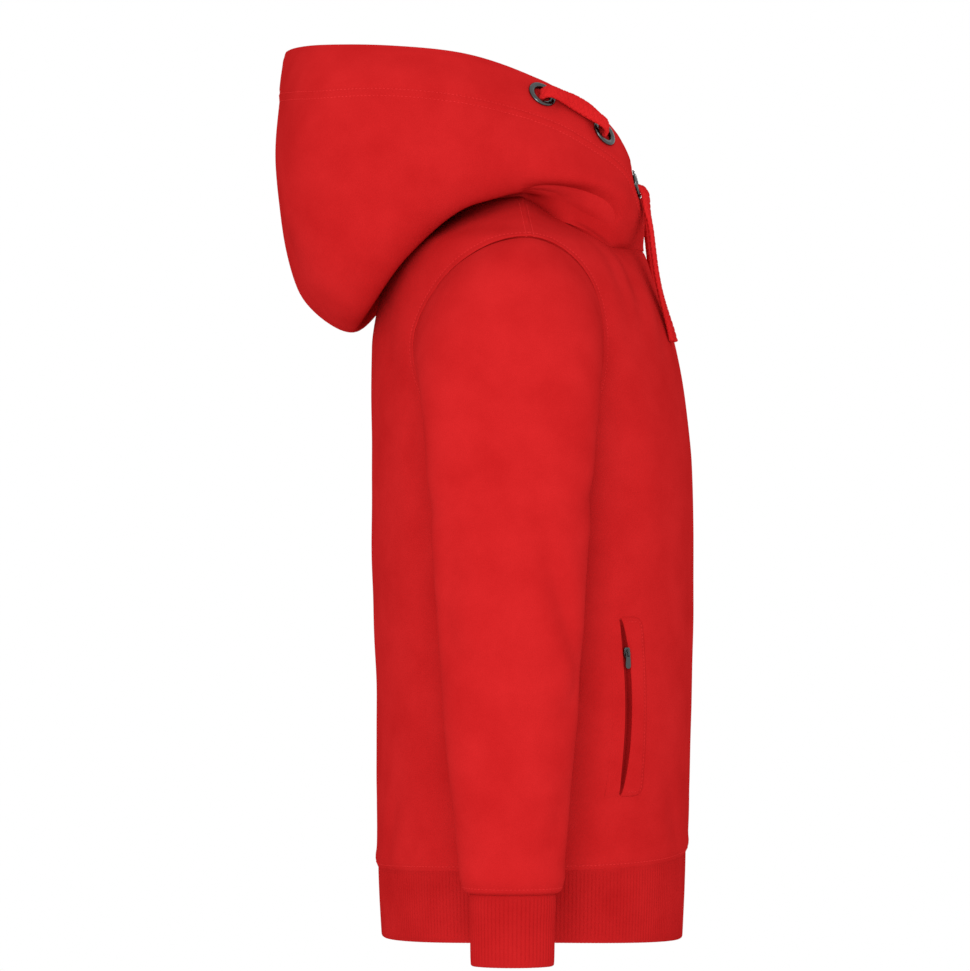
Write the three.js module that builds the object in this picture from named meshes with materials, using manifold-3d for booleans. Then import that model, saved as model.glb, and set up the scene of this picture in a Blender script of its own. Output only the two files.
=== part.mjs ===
// A child's pullover hoodie in plain sweatshirt fleece, hood down, standing hollow in its worn shape.
// Millimetres, +Z up, front towards -Y, the wearer's right side towards -X.
// The origin is the middle of the line between the two points where neck and shoulder meet.
// Every cloth piece is a thin wall worked out from the tables below, about 0.3 mm from its neighbours.

import * as THREE from "three";
import { mergeVertices } from "three/addons/utils/BufferGeometryUtils.js";
import Module from "manifold-3d";

const seamGap = 0.3;
const bodyCloth = 2.2;
const ribCloth = 2.8;
const casingCloth = 4.6;
const casingHeight = 34;

// Heights of the front, side and back of the seam between body and hem rib, and of the rib's lower edge
const hemSeam = { front: -490, side: -495, back: -503 };
const hemEdge = { front: -554.5, side: -546.5, back: -553.5 };
const hemStepIn = 1.2;

// Drop of the neckline below the neck-shoulder points, and how fast it is reached round the neck
const neckDrop = { front: 37, back: 12, frontReach: 0.45, backReach: 0.8 };

const armholeTop = -35;
const underarm = { depth: 5, height: -190 };
const sideSeamAtHem = -4;

// Numbers of cells that cover the pieces
const cells = { neck: 12, shoulder: 5, side: 6, armhole: 11, rib: 44, cuff: 20 };

const metalTone = 0x5a5f5f;
const clothTone = 0xc81e20;
const clothMaterial = { color: clothTone, roughness: 0.92, metalness: 0 };
const ribMaterial = { color: 0xc01c1f, roughness: 0.94, metalness: 0 };
const cordMaterial = { color: 0xcc2024, roughness: 0.85, metalness: 0 };
const metalMaterial = { color: metalTone, roughness: 0.32, metalness: 1 };

function named(columns, rows) {
  return rows.map((row) => Object.fromEntries(columns.map((column, i) => [column, row[i]])));
}

// Horizontal sections of the body, from under the hem seam up past the neck-shoulder points.
// half is the reach to each side, front and back are depths along Y, the powers make a section
// rounder or squarer, and pinch draws in the hollow between neck and shoulder.
const bodySections = named(
  ["z", "half", "front", "back", "centre", "frontPower", "backPower", "pinch"],
  [
    [-520, 154.0, -124.5, 109.4, -8, 2.7, 2.7, 0],
    [-440, 155.0, -127.0, 109.6, -8, 2.6, 2.6, 0],
    [-378, 156.0, -129.0, 109.8, -8, 2.6, 2.6, 0],
    [-310, 157.0, -130.4, 112.0, -8, 2.5, 2.5, 0],
    [-256, 158.0, -130.6, 113.2, -8, 2.5, 2.5, 0],
    [-200, 158.0, -129.2, 113.6, -8, 2.5, 2.5, 0],
    [-150, 162.0, -123.7, 113.6, -7, 2.3, 2.4, 0],
    [-110, 166.0, -117.0, 113.2, -6, 2.05, 2.3, 0],
    [-85, 169.0, -109.0, 110.0, -5.5, 1.95, 2.2, 0],
    [-60, 171.0, -100.5, 104.0, -5, 1.75, 2.1, 0.03],
    [-46, 172.0, -96.2, 98.0, -5, 1.55, 2.0, 0.06],
    [-36, 170.0, -92.0, 92.0, -5, 1.35, 1.9, 0.08],
    [-24, 143.0, -70.0, 77.0, -3.5, 1.2, 1.8, 0.03],
    [-12, 110.0, -52.0, 60.0, -1.5, 1.05, 1.8, 0],
    [0, 78.0, -38.0, 50.0, 0, 1.05, 1.8, 0],
    [12, 46.0, -26.0, 40.0, 0, 1.05, 1.8, 0],
  ],
);

// The armhole seam seen from the side, every twelfth of a turn: shoulder tip, back, underarm, front
const armholeTurns = named(
  ["y", "z"],
  [
    [-5, armholeTop],
    [28, -42],
    [59, -66],
    [78.5, -105],
    [72, -146],
    [42, -178],
    [underarm.depth, underarm.height],
    [-28, -180],
    [-50, -152],
    [-58, -113],
    [-52, -72],
    [-33, -46],
  ],
);

// Rings of the sleeve: its outer and inner edge seen from the front, its middle and width seen from
// the side, and how far a ring has gone from the armhole's own shape (0) to an even oval (1)
const sleeveRings = named(
  ["outX", "outZ", "inX", "inZ", "centre", "width", "oval"],
  [
    [169, -35, 158, -190, 10.5, 137, 0],
    [184, -41, 163, -190.5, 10.3, 136, 0.35],
    [199, -54, 168, -192.5, 10.0, 134, 0.65],
    [212, -78, 170.5, -197, 9.8, 131, 0.85],
    [222, -108, 171, -204, 9.6, 128, 0.95],
    [229, -145, 171, -214, 9.4, 124, 1],
    [233, -190, 171, -227, 9.2, 119, 1],
    [236, -240, 170.5, -243, 9.2, 113.5, 1],
    [239, -290, 173, -290, 9.4, 107.5, 1],
    [242, -340, 177, -340, 9.6, 100.5, 1],
    [244, -390, 181, -390, 9.6, 93.5, 1],
    [246, -440, 187, -440, 9.0, 84, 1],
    [248, -478, 191, -478, 8.2, 76, 1],
    [248, -498, 194.5, -498, 7.8, 71.8, 1],
    [245.8, -503.6, 196.6, -503.6, 7.7, 68.5, 1],
    [241.4, -505.4, 200.6, -505.4, 7.7, 61.5, 1],
  ],
);

// Rings of the cuff, from its seam down to its open end
const cuffRings = named(
  ["z", "centreX", "depth", "centre", "width"],
  [
    [-505.8, 221, 40.5, 7.7, 61.4],
    [-511, 221, 41, 7.8, 61.6],
    [-530, 221.5, 39.5, 8, 60.4],
    [-550, 222, 38, 8, 59.8],
    [-555.6, 222, 37, 8, 59.4],
  ],
);

// Lines round the hood on the wearer's left, at eighths of the way from centre front to centre back.
// The cloth rises from the neck seam (stand), lies over the shoulder and back (slope), folds under (fold),
// turns out (belly), bulges (side), and rises through the cord casing (casing) to the face opening (rim).
const hoodLines = [
  named(["x", "y", "z"], [
    [0, -92.2, -33], [33, -85.2, -33], [63, -69, -32], [77.5, -36.5, -15.5], [80.5, -1, 4.5],
    [75, 32, 2], [56.5, 47, -3.5], [29, 59.5, -6.5], [0, 64, -7.5],
  ]),
  named(["x", "y", "z"], [
    [0, -92.4, -29], [34.5, -87, -26], [66.5, -72, -21], [84, -40, -6], [92.5, 0, 1],
    [94, 38, -5], [86, 74, -23], [58, 97, -37], [0, 107, -42],
  ]),
  named(["x", "y", "z"], [
    [0, -92.6, -26], [36.5, -89.8, -16], [69.5, -76, -4], [92, -39, 4], [105, 2, 1],
    [113, 46, -12], [110, 86, -46], [80, 116, -86], [0, 127.5, -98],
  ]),
  named(["x", "y", "z"], [
    [0, -92.7, -23.5], [36, -90.4, -8], [67, -77, 8], [96, -40, 14], [114, 4, 13],
    [123, 55, 0], [125, 100, -30], [98, 144, -66], [0, 166, -73],
  ]),
  named(["x", "y", "z"], [
    [0, -92.6, -21], [34, -89.9, -1], [62, -77, 20], [94, -40, 30], [117, 8, 39],
    [127, 66, 35], [129, 120, 24], [97, 169, 21], [0, 185.3, 24],
  ]),
  named(["x", "y", "z"], [
    [0, -92.3, -19], [28, -88.8, 6], [53, -76, 34], [80, -44, 53], [102, 0, 68],
    [114, 52, 79], [117, 110, 83], [90, 160.5, 83], [0, 182.4, 82.5],
  ]),
  named(["x", "y", "z"], [
    [0, -91.8, -17], [21, -86.4, 11], [43, -73.2, 47], [62, -49, 68], [80, -9, 88],
    [94, 40, 103.5], [98.5, 97, 109.5], [80, 152, 111.2], [0, 179.6, 112],
  ]),
];

// Rows of the hood's net, as places between the lines above: 0 is the neck seam and 7 the rim
const hoodRows = [0, 0.5, 1, 1.5, 2, 2.5, 2.8, 3.1, 3.4, 3.7, 4, 4.5, 5, 5.5, 6, 6.35, 6.7, 7];

// Eyelets on each side's casing, by their place from centre front (0) to centre back (1)
const eyelet = { outer: 11.2, bore: 6.8, barrel: 7.3, rise: 1.5, seat: 1, barrelLength: 1.3, fromRim: 14 };
const eyeletPlaces = [0.471, 0.313, 0.16];
const eyeletHole = { radius: 7.6, depth: 2.9 };
const eyeletSides = 14;

// The flat braided cord: its half width and half thickness, how far it stands off between two eyelets
// and how far its flat side turns there towards the wearer's side
const cord = { halfWidth: 5.9, halfThick: 2.1, sides: 8, lift: 6.4, turned: 0.55 };

// How a cord comes out of an eyelet's hole and bends over: its height over the casing and how far it
// has gone, for the stretch between two eyelets and for the free end, which lies over the lower lip
const cordExits = {
  lace: named(["high", "far"], [[-1.2, 0], [0.4, 0.1], [2.2, 0.9], [4.3, 2.6], [5.8, 5.4]]),
  end: named(["high", "far"], [[-1.2, 2.2], [0.4, 2.5], [2, 3.7], [3.4, 6], [4, 9.2]]),
};

// The cord's free end on the wearer's left, from the eyelet down over the chest
const cordEndRoute = named(
  ["x", "y", "z"],
  [
    [39.6, -94.4, -8],
    [41, -97, -22],
    [42.8, -98.9, -38],
    [45, -100.9, -54],
    [47.6, -103.9, -70],
    [50.6, -108.1, -86],
    [53, -111.2, -97],
    [55, -113.4, -106.5],
  ],
);

// The zip pocket on each side of the front: a bowed opening with a zip behind it and one stitched welt.
// depthShare is the depth along Y that one millimetre across the cloth takes up there.
const pocket = { top: -311, bottom: -442, middle: -376, openingDepth: -76.8, bow: 6, depthShare: 0.78 };
const pocketParts = {
  stripHalf: 2.8, stripThick: 1, weltGap: 0.3, weltThick: 2.1, weltEdge: -90.2, weltEdgeBow: 3.2, lift: 0.3,
};

// The zip slider, its bridge, and the pull that hangs on it
const slider = { height: -336.5, half: 2.35, above: 3.4, below: 4.4, thick: 1.5, lift: 1.6 };
const bridge = { width: 1.3, clear: 1.8, thick: 0.7, above: 1.95, below: 2.4 };
const pull = {
  length: 12.6, topHalf: 1.75, endHalf: 2.15, thick: 1.1, bar: 0.55, windowHalf: 1.05, windowEnd: 3.2,
};

// Height of the pull's hinge over the panel
const axisLift = slider.lift + slider.thick + bridge.clear / 2;

const hoodie = new THREE.Group();
const wasm = await Module();
wasm.setup();

// Smooth value of one column between a table's rows, without overshoot; the rows are sorted by key
function readTable(rows, key, column, at) {
  const last = rows.length - 1;
  let i = 0;
  while (i < last - 1 && at > rows[i + 1][key]) i += 1;
  const step = (k) => rows[k + 1][key] - rows[k][key];
  const rise = (k) => (rows[k + 1][column] - rows[k][column]) / step(k);
  const slope = (k) => {
    if (k === 0) return rise(0);
    if (k === last) return rise(last - 1);
    const before = rise(k - 1);
    const after = rise(k);
    if (before * after <= 0) return 0;
    const heavy = 2 * step(k) + step(k - 1);
    const light = step(k) + 2 * step(k - 1);
    return (heavy + light) / (heavy / before + light / after);
  };
  const width = step(i);
  const t = (at - rows[i][key]) / width;
  const t2 = t * t;
  const t3 = t2 * t;
  return (
    (2 * t3 - 3 * t2 + 1) * rows[i][column] +
    (t3 - 2 * t2 + t) * width * slope(i) +
    (3 * t2 - 2 * t3) * rows[i + 1][column] +
    (t3 - t2) * width * slope(i + 1)
  );
}

function smoothStep(value) {
  const t = Math.min(1, Math.max(0, value));
  return t * t * (3 - 2 * t);
}

function mix(a, b, t) {
  return a + (b - a) * t;
}

// Body surface: the angle runs from 0 at centre front over 90 degrees at the wearer's left to 180 at the back
function bodyPoint(angle, z) {
  const size = (column) => readTable(bodySections, "z", column, z);
  const c = Math.cos(angle);
  const s = Math.sin(angle);
  const faces = c >= 0 ? "front" : "back";
  const centre = size("centre");
  const depth = Math.abs(size(faces) - centre);
  const power = size(`${faces}Power`);
  let reach = (Math.abs(c) / depth) ** power + (Math.abs(s) / size("half")) ** power;
  reach **= -1 / power;
  if (faces === "front") reach *= 1 - size("pinch") * Math.sin(2 * angle) ** 4;
  return new THREE.Vector3(reach * s, centre - reach * c, z);
}

function bodyNormal(angle, z) {
  const turn = 0.004;
  const rise = 0.6;
  const across = bodyPoint(angle + turn, z).sub(bodyPoint(angle - turn, z));
  const up = bodyPoint(angle, z + rise).sub(bodyPoint(angle, z - rise));
  return across.cross(up).normalize();
}

// Angle on the wearer's left at which a section reaches the depth y
function angleAtDepth(y, z) {
  let low = 0;
  let high = Math.PI;
  for (let i = 0; i < 40; i += 1) {
    const middle = (low + high) / 2;
    if (bodyPoint(middle, z).y < y) low = middle;
    else high = middle;
  }
  return (low + high) / 2;
}

function heightRound(levels, angle) {
  const c = Math.cos(angle);
  return mix(levels.side, c > 0 ? levels.front : levels.back, c * c);
}

function neckHeight(angle) {
  const fromSide = Math.abs(Math.PI / 2 - Math.abs(angle)) / (Math.PI / 2);
  if (Math.cos(angle) > 0) {
    const share = Math.min(1, fromSide / neckDrop.frontReach);
    return -neckDrop.front * mix(share, smoothStep(share), 0.6);
  }
  return -neckDrop.back * smoothStep(fromSide / neckDrop.backReach);
}

// Closed curve through a table's rows; turn runs from 0 to 1
function loopThrough(rows, turn, columns) {
  const count = rows.length;
  const at = (((turn % 1) + 1) % 1) * count;
  const i = Math.floor(at);
  const t = at - i;
  const row = (k) => rows[(k + count) % count];
  return columns.map((column) => {
    const [a, b, c, d] = [row(i - 1), row(i), row(i + 1), row(i + 2)].map((r) => r[column]);
    const turnIn = (c - a) / 2;
    const turnOut = (d - b) / 2;
    const sharp = 2 * b - 2 * c + turnIn + turnOut;
    return ((sharp * t + 3 * (c - b) - 2 * turnIn - turnOut) * t + turnIn) * t + b;
  });
}

function armholeAngle(turn) {
  const [y, z] = loopThrough(armholeTurns, turn, ["y", "z"]);
  return { angle: angleAtDepth(y, z), z };
}

function armholePoint(turn) {
  const { angle, z } = armholeAngle(turn);
  return bodyPoint(angle, z);
}

// A wall between two nets of points, outer and inner, each a list of rows. From the column mirrorFrom on
// the cells are cut along their other diagonal, so that both halves of a symmetric piece match.
function wall(outer, inner, closedRound, mirrorFrom = Infinity) {
  const rowCount = outer.length;
  const columnCount = outer[0].length;
  const points = [...outer.flat(), ...inner.flat()];
  const skin = rowCount * columnCount;
  const at = (row, column, side) => side * skin + row * columnCount + (column % columnCount);
  const faces = [];
  const quad = (a, b, c, d) => faces.push([a, b, c], [a, c, d]);
  const columns = closedRound ? columnCount : columnCount - 1;
  for (let row = 0; row < rowCount - 1; row += 1) {
    for (let column = 0; column < columns; column += 1) {
      const corners = [[row, column], [row, column + 1], [row + 1, column + 1], [row + 1, column]];
      if (column >= mirrorFrom) corners.push(corners.shift());
      quad(...corners.map(([r, c]) => at(r, c, 0)));
      quad(...corners.reverse().map(([r, c]) => at(r, c, 1)));
    }
  }
  for (let column = 0; column < columns; column += 1) {
    quad(at(0, column + 1, 0), at(0, column, 0), at(0, column, 1), at(0, column + 1, 1));
    const top = rowCount - 1;
    quad(at(top, column, 0), at(top, column + 1, 0), at(top, column + 1, 1), at(top, column, 1));
  }
  if (!closedRound) {
    const end = columnCount - 1;
    for (let row = 0; row < rowCount - 1; row += 1) {
      quad(at(row, 0, 0), at(row + 1, 0, 0), at(row + 1, 0, 1), at(row, 0, 1));
      quad(at(row + 1, end, 0), at(row, end, 0), at(row, end, 1), at(row + 1, end, 1));
    }
  }
  return bodyFrom(points, faces);
}

// A closed body from points and triangles, turned so that its faces point outwards
function bodyFrom(points, faces) {
  const volume = faces.reduce((sum, [a, b, c]) => {
    return sum + points[a].dot(new THREE.Vector3().crossVectors(points[b], points[c]));
  }, 0);
  const turned = volume < 0 ? faces.map(([a, b, c]) => [a, c, b]) : faces;
  const geometry = new THREE.BufferGeometry();
  geometry.setAttribute("position", new THREE.Float32BufferAttribute(points.flatMap((p) => p.toArray()), 3));
  geometry.setIndex(turned.flat());
  return geometry;
}

function mirrored(geometry) {
  const copy = geometry.clone();
  copy.scale(-1, 1, 1);
  const index = Array.from(copy.index.array);
  for (let i = 0; i < index.length; i += 3) [index[i + 1], index[i + 2]] = [index[i + 2], index[i + 1]];
  copy.setIndex(index);
  return copy;
}

// Unit normals of a net, by the right hand from its columns to its rows
function netNormals(net, closedRound) {
  const rowCount = net.length;
  const columnCount = net[0].length;
  return net.map((row, r) => row.map((_, c) => {
    const below = net[Math.max(0, r - 1)][c];
    const above = net[Math.min(rowCount - 1, r + 1)][c];
    const before = closedRound ? row[(c - 1 + columnCount) % columnCount] : row[Math.max(0, c - 1)];
    const after = closedRound ? row[(c + 1) % columnCount] : row[Math.min(columnCount - 1, c + 1)];
    const across = after.clone().sub(before);
    const along = above.clone().sub(below);
    return across.cross(along).normalize();
  }));
}

function offsetNet(net, normals, distance) {
  return net.map((row, r) => row.map((point, c) => {
    const amount = typeof distance === "function" ? distance(r, c) : distance;
    return point.clone().addScaledVector(normals[r][c], amount);
  }));
}

function add(name, geometry, look) {
  const mesh = new THREE.Mesh(geometry, new THREE.MeshStandardMaterial(look));
  mesh.name = name;
  hoodie.add(mesh);
}

function addPair(name, leftGeometry, look) {
  add(`${name}_left`, leftGeometry, look);
  add(`${name}_right`, mirrored(leftGeometry), look);
}

function toSolid(geometry) {
  const bare = geometry.clone();
  bare.deleteAttribute("normal");
  bare.deleteAttribute("uv");
  const merged = mergeVertices(bare, 1e-4);
  return new wasm.Manifold(new wasm.Mesh({
    numProp: 3,
    vertProperties: new Float32Array(merged.attributes.position.array),
    triVerts: new Uint32Array(merged.index.array),
  }));
}

function fromSolid(solid) {
  const mesh = solid.getMesh();
  const geometry = new THREE.BufferGeometry();
  geometry.setAttribute("position", new THREE.BufferAttribute(new Float32Array(mesh.vertProperties), 3));
  geometry.setIndex(Array.from(mesh.triVerts));
  return geometry;
}

// Front and back panels

function sideEdge(face, row) {
  const away = face === "front" ? -1 : 1;
  if (row <= cells.side) {
    const t = row / cells.side;
    const hemAngle = angleAtDepth(sideSeamAtHem, hemSeam.side);
    const z = mix(heightRound(hemSeam, hemAngle) + seamGap / 2, underarm.height, t);
    const y = mix(sideSeamAtHem, underarm.depth, t) + (away * seamGap) / 2;
    return { angle: angleAtDepth(y, z), z };
  }
  const t = (row - cells.side) / cells.armhole;
  const edge = armholeAngle(0.5 - (away * t) / 2);
  if (row < cells.side + cells.armhole) return edge;
  return shoulderEdge(face, 0);
}

function shoulderEdge(face, t) {
  const away = face === "front" ? -1 : 1;
  const z = mix(armholeTop, 0, t);
  const ridge = readTable(bodySections, "z", "centre", z);
  return { angle: angleAtDepth(ridge + (away * seamGap) / 2, z), z };
}

function neckAngle(face, t) {
  return face === "front" ? mix(Math.PI / 2, 0, t) : mix(Math.PI / 2, Math.PI, t);
}

// Upper edge of a half panel from the shoulder tip to the centre line
function topEdge(face, column) {
  if (column < cells.shoulder) return shoulderEdge(face, column / cells.shoulder);
  const t = (column - cells.shoulder) / cells.neck;
  const seam = shoulderEdge(face, 1);
  const angle = column === cells.shoulder ? seam.angle : neckAngle(face, t);
  return { angle, z: neckHeight(angle) };
}

// Half a panel's net on the wearer's left: points spread evenly between its four edges,
// then each carried out along its own direction to the body's surface
function halfPanel(face) {
  const rowCount = cells.side + cells.armhole;
  const columnCount = cells.shoulder + cells.neck;
  const middle = face === "front" ? 0 : Math.PI;
  const hemAt = (column) => {
    const angle = mix(sideEdge(face, 0).angle, middle, column / columnCount);
    return { angle, z: heightRound(hemSeam, angle) + seamGap / 2 };
  };
  const centreAt = (row) => {
    const z = mix(hemAt(columnCount).z, topEdge(face, columnCount).z, centreShare(face, row));
    return { angle: middle, z };
  };
  const edges = {
    hem: Array.from({ length: columnCount + 1 }, (_, column) => hemAt(column)),
    top: Array.from({ length: columnCount + 1 }, (_, column) => topEdge(face, column)),
    side: Array.from({ length: rowCount + 1 }, (_, row) => sideEdge(face, row)),
    centre: Array.from({ length: rowCount + 1 }, (_, row) => centreAt(row)),
  };
  const point = ({ angle, z }) => bodyPoint(angle, z);
  const inside = (row, column) => {
    const u = column / columnCount;
    const v = row / rowCount;
    const sum = new THREE.Vector3();
    sum.addScaledVector(point(edges.hem[column]), 1 - v).addScaledVector(point(edges.top[column]), v);
    sum.addScaledVector(point(edges.side[row]), 1 - u).addScaledVector(point(edges.centre[row]), u);
    sum.addScaledVector(point(edges.hem[0]), -(1 - u) * (1 - v));
    sum.addScaledVector(point(edges.hem[columnCount]), -u * (1 - v));
    sum.addScaledVector(point(edges.top[0]), -(1 - u) * v);
    sum.addScaledVector(point(edges.top[columnCount]), -u * v);
    const centre = readTable(bodySections, "z", "centre", sum.z);
    return { angle: Math.atan2(sum.x, centre - sum.y), z: sum.z };
  };
  const rows = [];
  for (let row = 0; row <= rowCount; row += 1) {
    rows.push(edges.hem.map((_, column) => {
      if (row === 0) return edges.hem[column];
      if (row === rowCount) return edges.top[column];
      if (column === 0) return edges.side[row];
      if (column === columnCount) return edges.centre[row];
      return inside(row, column);
    }));
  }
  return rows;
}

// How far up the centre line a row lies, in step with the same row on the side and armhole
function centreShare(face, row) {
  const height = (r) => sideEdge(face, r).z;
  const rowCount = cells.side + cells.armhole;
  const even = row / rowCount;
  const byHeight = (height(row) - height(0)) / (height(rowCount) - height(0));
  return mix(even, byHeight, 0.7);
}

// The way out of the cloth; on the shoulder ridge front and back share one
function panelNormal({ angle, z }, onRidge) {
  return bodyNormal(onRidge ? (Math.sign(angle) * Math.PI) / 2 : angle, z);
}

function panel(face) {
  const half = halfPanel(face);
  const full = half.map((row) => {
    const other = row.slice(0, -1).map(({ angle, z }) => ({ angle: -angle, z }));
    return [...other, ...row.slice().reverse()];
  });
  const outer = full.map((row) => row.map(({ angle, z }) => bodyPoint(angle, z)));
  const top = full.length - 1;
  const inner = full.map((row, r) => row.map((place, c) => {
    const fromSide = Math.min(c, row.length - 1 - c);
    const onRidge = r === top && fromSide <= cells.shoulder;
    return outer[r][c].clone().addScaledVector(panelNormal(place, onRidge), -bodyCloth);
  }));
  return wall(outer, inner, false, cells.shoulder + cells.neck);
}

// Hem rib

function hemRib() {
  const levels = [0, 0.16, 0.5, 1];
  const draws = [0, 0.2, 0.9, 2.4];
  const net = (thick) => levels.map((share, i) => {
    const ring = [];
    for (let k = 0; k < cells.rib; k += 1) {
      const angle = (k / cells.rib) * 2 * Math.PI - Math.PI;
      const seam = heightRound(hemSeam, angle);
      const z = mix(seam - seamGap / 2, heightRound(hemEdge, angle), share);
      const point = bodyPoint(angle, seam);
      const normal = bodyNormal(angle, seam).setZ(0).normalize();
      point.addScaledVector(normal, -hemStepIn - draws[i] - thick);
      ring.push(point.setZ(z));
    }
    return ring;
  });
  return wall(net(0), net(ribCloth), true);
}

// Sleeve and cuff on the wearer's left

function sleeveTurns() {
  const turns = [];
  for (let k = 0; k < 2 * cells.armhole; k += 1) turns.push(k / (2 * cells.armhole));
  return turns;
}

function sleeveOval(ring, turn) {
  const angle = turn * 2 * Math.PI;
  const out = new THREE.Vector3(ring.outX, 0, ring.outZ);
  const inside = new THREE.Vector3(ring.inX, 0, ring.inZ);
  const point = out.clone().add(inside).multiplyScalar(0.5);
  point.addScaledVector(out.sub(inside), Math.cos(angle) / 2);
  point.y = ring.centre + (Math.sin(angle) * ring.width) / 2;
  return point;
}

function sleeve() {
  const turns = sleeveTurns();
  const hole = turns.map((turn) => armholePoint(turn));
  const middle = hole.reduce((sum, p) => sum.add(p), new THREE.Vector3()).divideScalar(hole.length);
  const normals = turns.map((turn) => {
    const { angle, z } = armholeAngle(turn);
    return bodyNormal(angle, z);
  });
  const away = hole.map((point, k) => {
    const along = hole[(k + 1) % hole.length].clone().sub(hole[(k - 1 + hole.length) % hole.length]);
    const out = along.cross(normals[k]).normalize();
    return out.dot(middle.clone().sub(point)) > 0 ? out : out.negate();
  });
  const outer = sleeveRings.map((ring, i) => turns.map((turn, k) => {
    if (i === 0) return hole[k].clone().addScaledVector(away[k], seamGap);
    const own = hole[k].clone().sub(sleeveOval(sleeveRings[0], turn));
    return sleeveOval(ring, turn).addScaledVector(own, 1 - ring.oval);
  }));
  const inner = offsetNet(outer, netNormals(outer, true), bodyCloth);
  inner[0] = outer[0].map((point, k) => point.clone().addScaledVector(normals[k], -bodyCloth));
  return wall(outer, inner, true);
}

function cuff() {
  const net = (thick) => cuffRings.map((ring) => {
    const points = [];
    for (let k = 0; k < cells.cuff; k += 1) {
      const angle = (k / cells.cuff) * 2 * Math.PI;
      points.push(new THREE.Vector3(
        ring.centreX + Math.cos(angle) * (ring.depth / 2 - thick),
        ring.centre + Math.sin(angle) * (ring.width / 2 - thick),
        ring.z,
      ));
    }
    return points;
  });
  return wall(net(0), net(ribCloth), true);
}

// Hood half on the wearer's left

function openCurve(points, at) {
  return new THREE.CatmullRomCurve3(points, false, "centripetal").getPoint(at);
}

const hoodLoops = hoodLines.map((line) => {
  const left = line.map((row) => new THREE.Vector3(row.x, row.y, row.z));
  const right = left.slice(1, -1).reverse().map((p) => new THREE.Vector3(-p.x, p.y, p.z));
  return new THREE.CatmullRomCurve3([...left, ...right], true, "centripetal");
});

// A point of the neck seam on the body, and the way out of the body's cloth there
function neckSeamPoint(turn) {
  const angle = turn * Math.PI;
  return { point: bodyPoint(angle, neckHeight(angle)), normal: bodyNormal(angle, neckHeight(angle)) };
}

function hoodPoint(turn, line) {
  const column = [neckSeamPoint(turn).point, ...hoodLoops.map((loop) => loop.getPoint(turn / 2))];
  return openCurve(column, line / (column.length - 1));
}

function hoodNormal(turn, line) {
  const small = 0.01;
  const across = hoodPoint(turn + small, line).sub(hoodPoint(turn - small, line));
  const top = hoodLoops.length;
  const up = hoodPoint(turn, Math.min(top, line + small)).sub(hoodPoint(turn, Math.max(0, line - small)));
  return across.cross(up).normalize();
}

function hoodHalf() {
  const columnCount = 2 * cells.neck;
  const turns = Array.from({ length: columnCount + 1 }, (_, k) => k / columnCount);
  const outer = hoodRows.map((line) => turns.map((turn) => hoodPoint(turn, line)));
  const normals = hoodRows.map((line) => turns.map((turn) => hoodNormal(turn, Math.max(0.05, line))));
  const top = hoodRows.length - 1;
  const fromRim = (row, column) => {
    let length = 0;
    for (let r = row; r < top; r += 1) length += outer[r][column].distanceTo(outer[r + 1][column]);
    return length;
  };
  const thickness = (row, column) => {
    return -mix(casingCloth, bodyCloth, smoothStep((fromRim(row, column) - casingHeight + 4) / 8));
  };
  const inner = offsetNet(outer, normals, thickness);
  turns.forEach((turn, k) => {
    const { point, normal } = neckSeamPoint(turn);
    const along = neckSeamPoint(turn + 0.01).point.sub(neckSeamPoint(turn - 0.01).point);
    const up = along.cross(normal).normalize();
    if (up.z < 0) up.negate();
    outer[0][k] = point.clone().addScaledVector(up, seamGap);
    inner[0][k] = outer[0][k].clone().addScaledVector(normal, -bodyCloth);
  });
  for (const net of [outer, inner]) {
    for (const row of net) {
      row[0].x = seamGap / 2;
      row[columnCount].x = seamGap / 2;
    }
  }
  return wall(outer, inner, false);
}

// Frame of an eyelet: its centre on the casing, the way out, and the way along the rim towards the front
function eyeletFrame(turn) {
  const top = hoodLoops.length;
  let line = top;
  while (hoodPoint(turn, line).distanceTo(hoodPoint(turn, top)) < eyelet.fromRim) line -= 0.01;
  const out = hoodNormal(turn, line);
  const centre = hoodPoint(turn, line);
  const along = hoodPoint(turn - 0.02, line).sub(centre);
  along.addScaledVector(out, -along.dot(out)).normalize();
  return { centre, out, along };
}

function turnedTo(geometry, centre, direction) {
  const up = new THREE.Vector3(0, 1, 0);
  geometry.applyQuaternion(new THREE.Quaternion().setFromUnitVectors(up, direction));
  geometry.translate(centre.x, centre.y, centre.z);
  return geometry;
}

function eyeletRing({ centre, out }) {
  const foot = -eyelet.seat + seamGap;
  const profile = [
    [eyelet.bore, foot - eyelet.barrelLength],
    [eyelet.barrel, foot - eyelet.barrelLength],
    [eyelet.barrel, foot],
    [eyelet.outer, foot],
    [eyelet.outer - 0.5, foot + eyelet.rise * 0.75],
    [eyelet.outer - 2.1, foot + eyelet.rise],
    [eyelet.bore + 0.5, foot + eyelet.rise * 0.8],
    [eyelet.bore, foot + eyelet.rise * 0.3],
    [eyelet.bore, foot - eyelet.barrelLength],
  ].map(([radius, height]) => new THREE.Vector2(radius, height));
  const ring = new THREE.LatheGeometry(profile, eyeletSides);
  ring.deleteAttribute("normal");
  ring.deleteAttribute("uv");
  const merged = mergeVertices(ring, 1e-4);
  return turnedTo(fromSolid(toSolid(merged)), centre, out);
}

// The seat of an eyelet's flange and the blind hole under it, as one cutter
function eyeletCutter({ centre, out }) {
  const tall = 12;
  const seat = new THREE.CylinderGeometry(eyelet.outer + seamGap, eyelet.outer + seamGap, tall, eyeletSides);
  seat.translate(0, tall / 2 - eyelet.seat, 0);
  const hole = new THREE.CylinderGeometry(eyeletHole.radius, eyeletHole.radius, tall, eyeletSides);
  hole.translate(0, tall / 2 - eyeletHole.depth, 0);
  return toSolid(turnedTo(seat, centre, out)).add(toSolid(turnedTo(hole, centre, out)));
}

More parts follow.
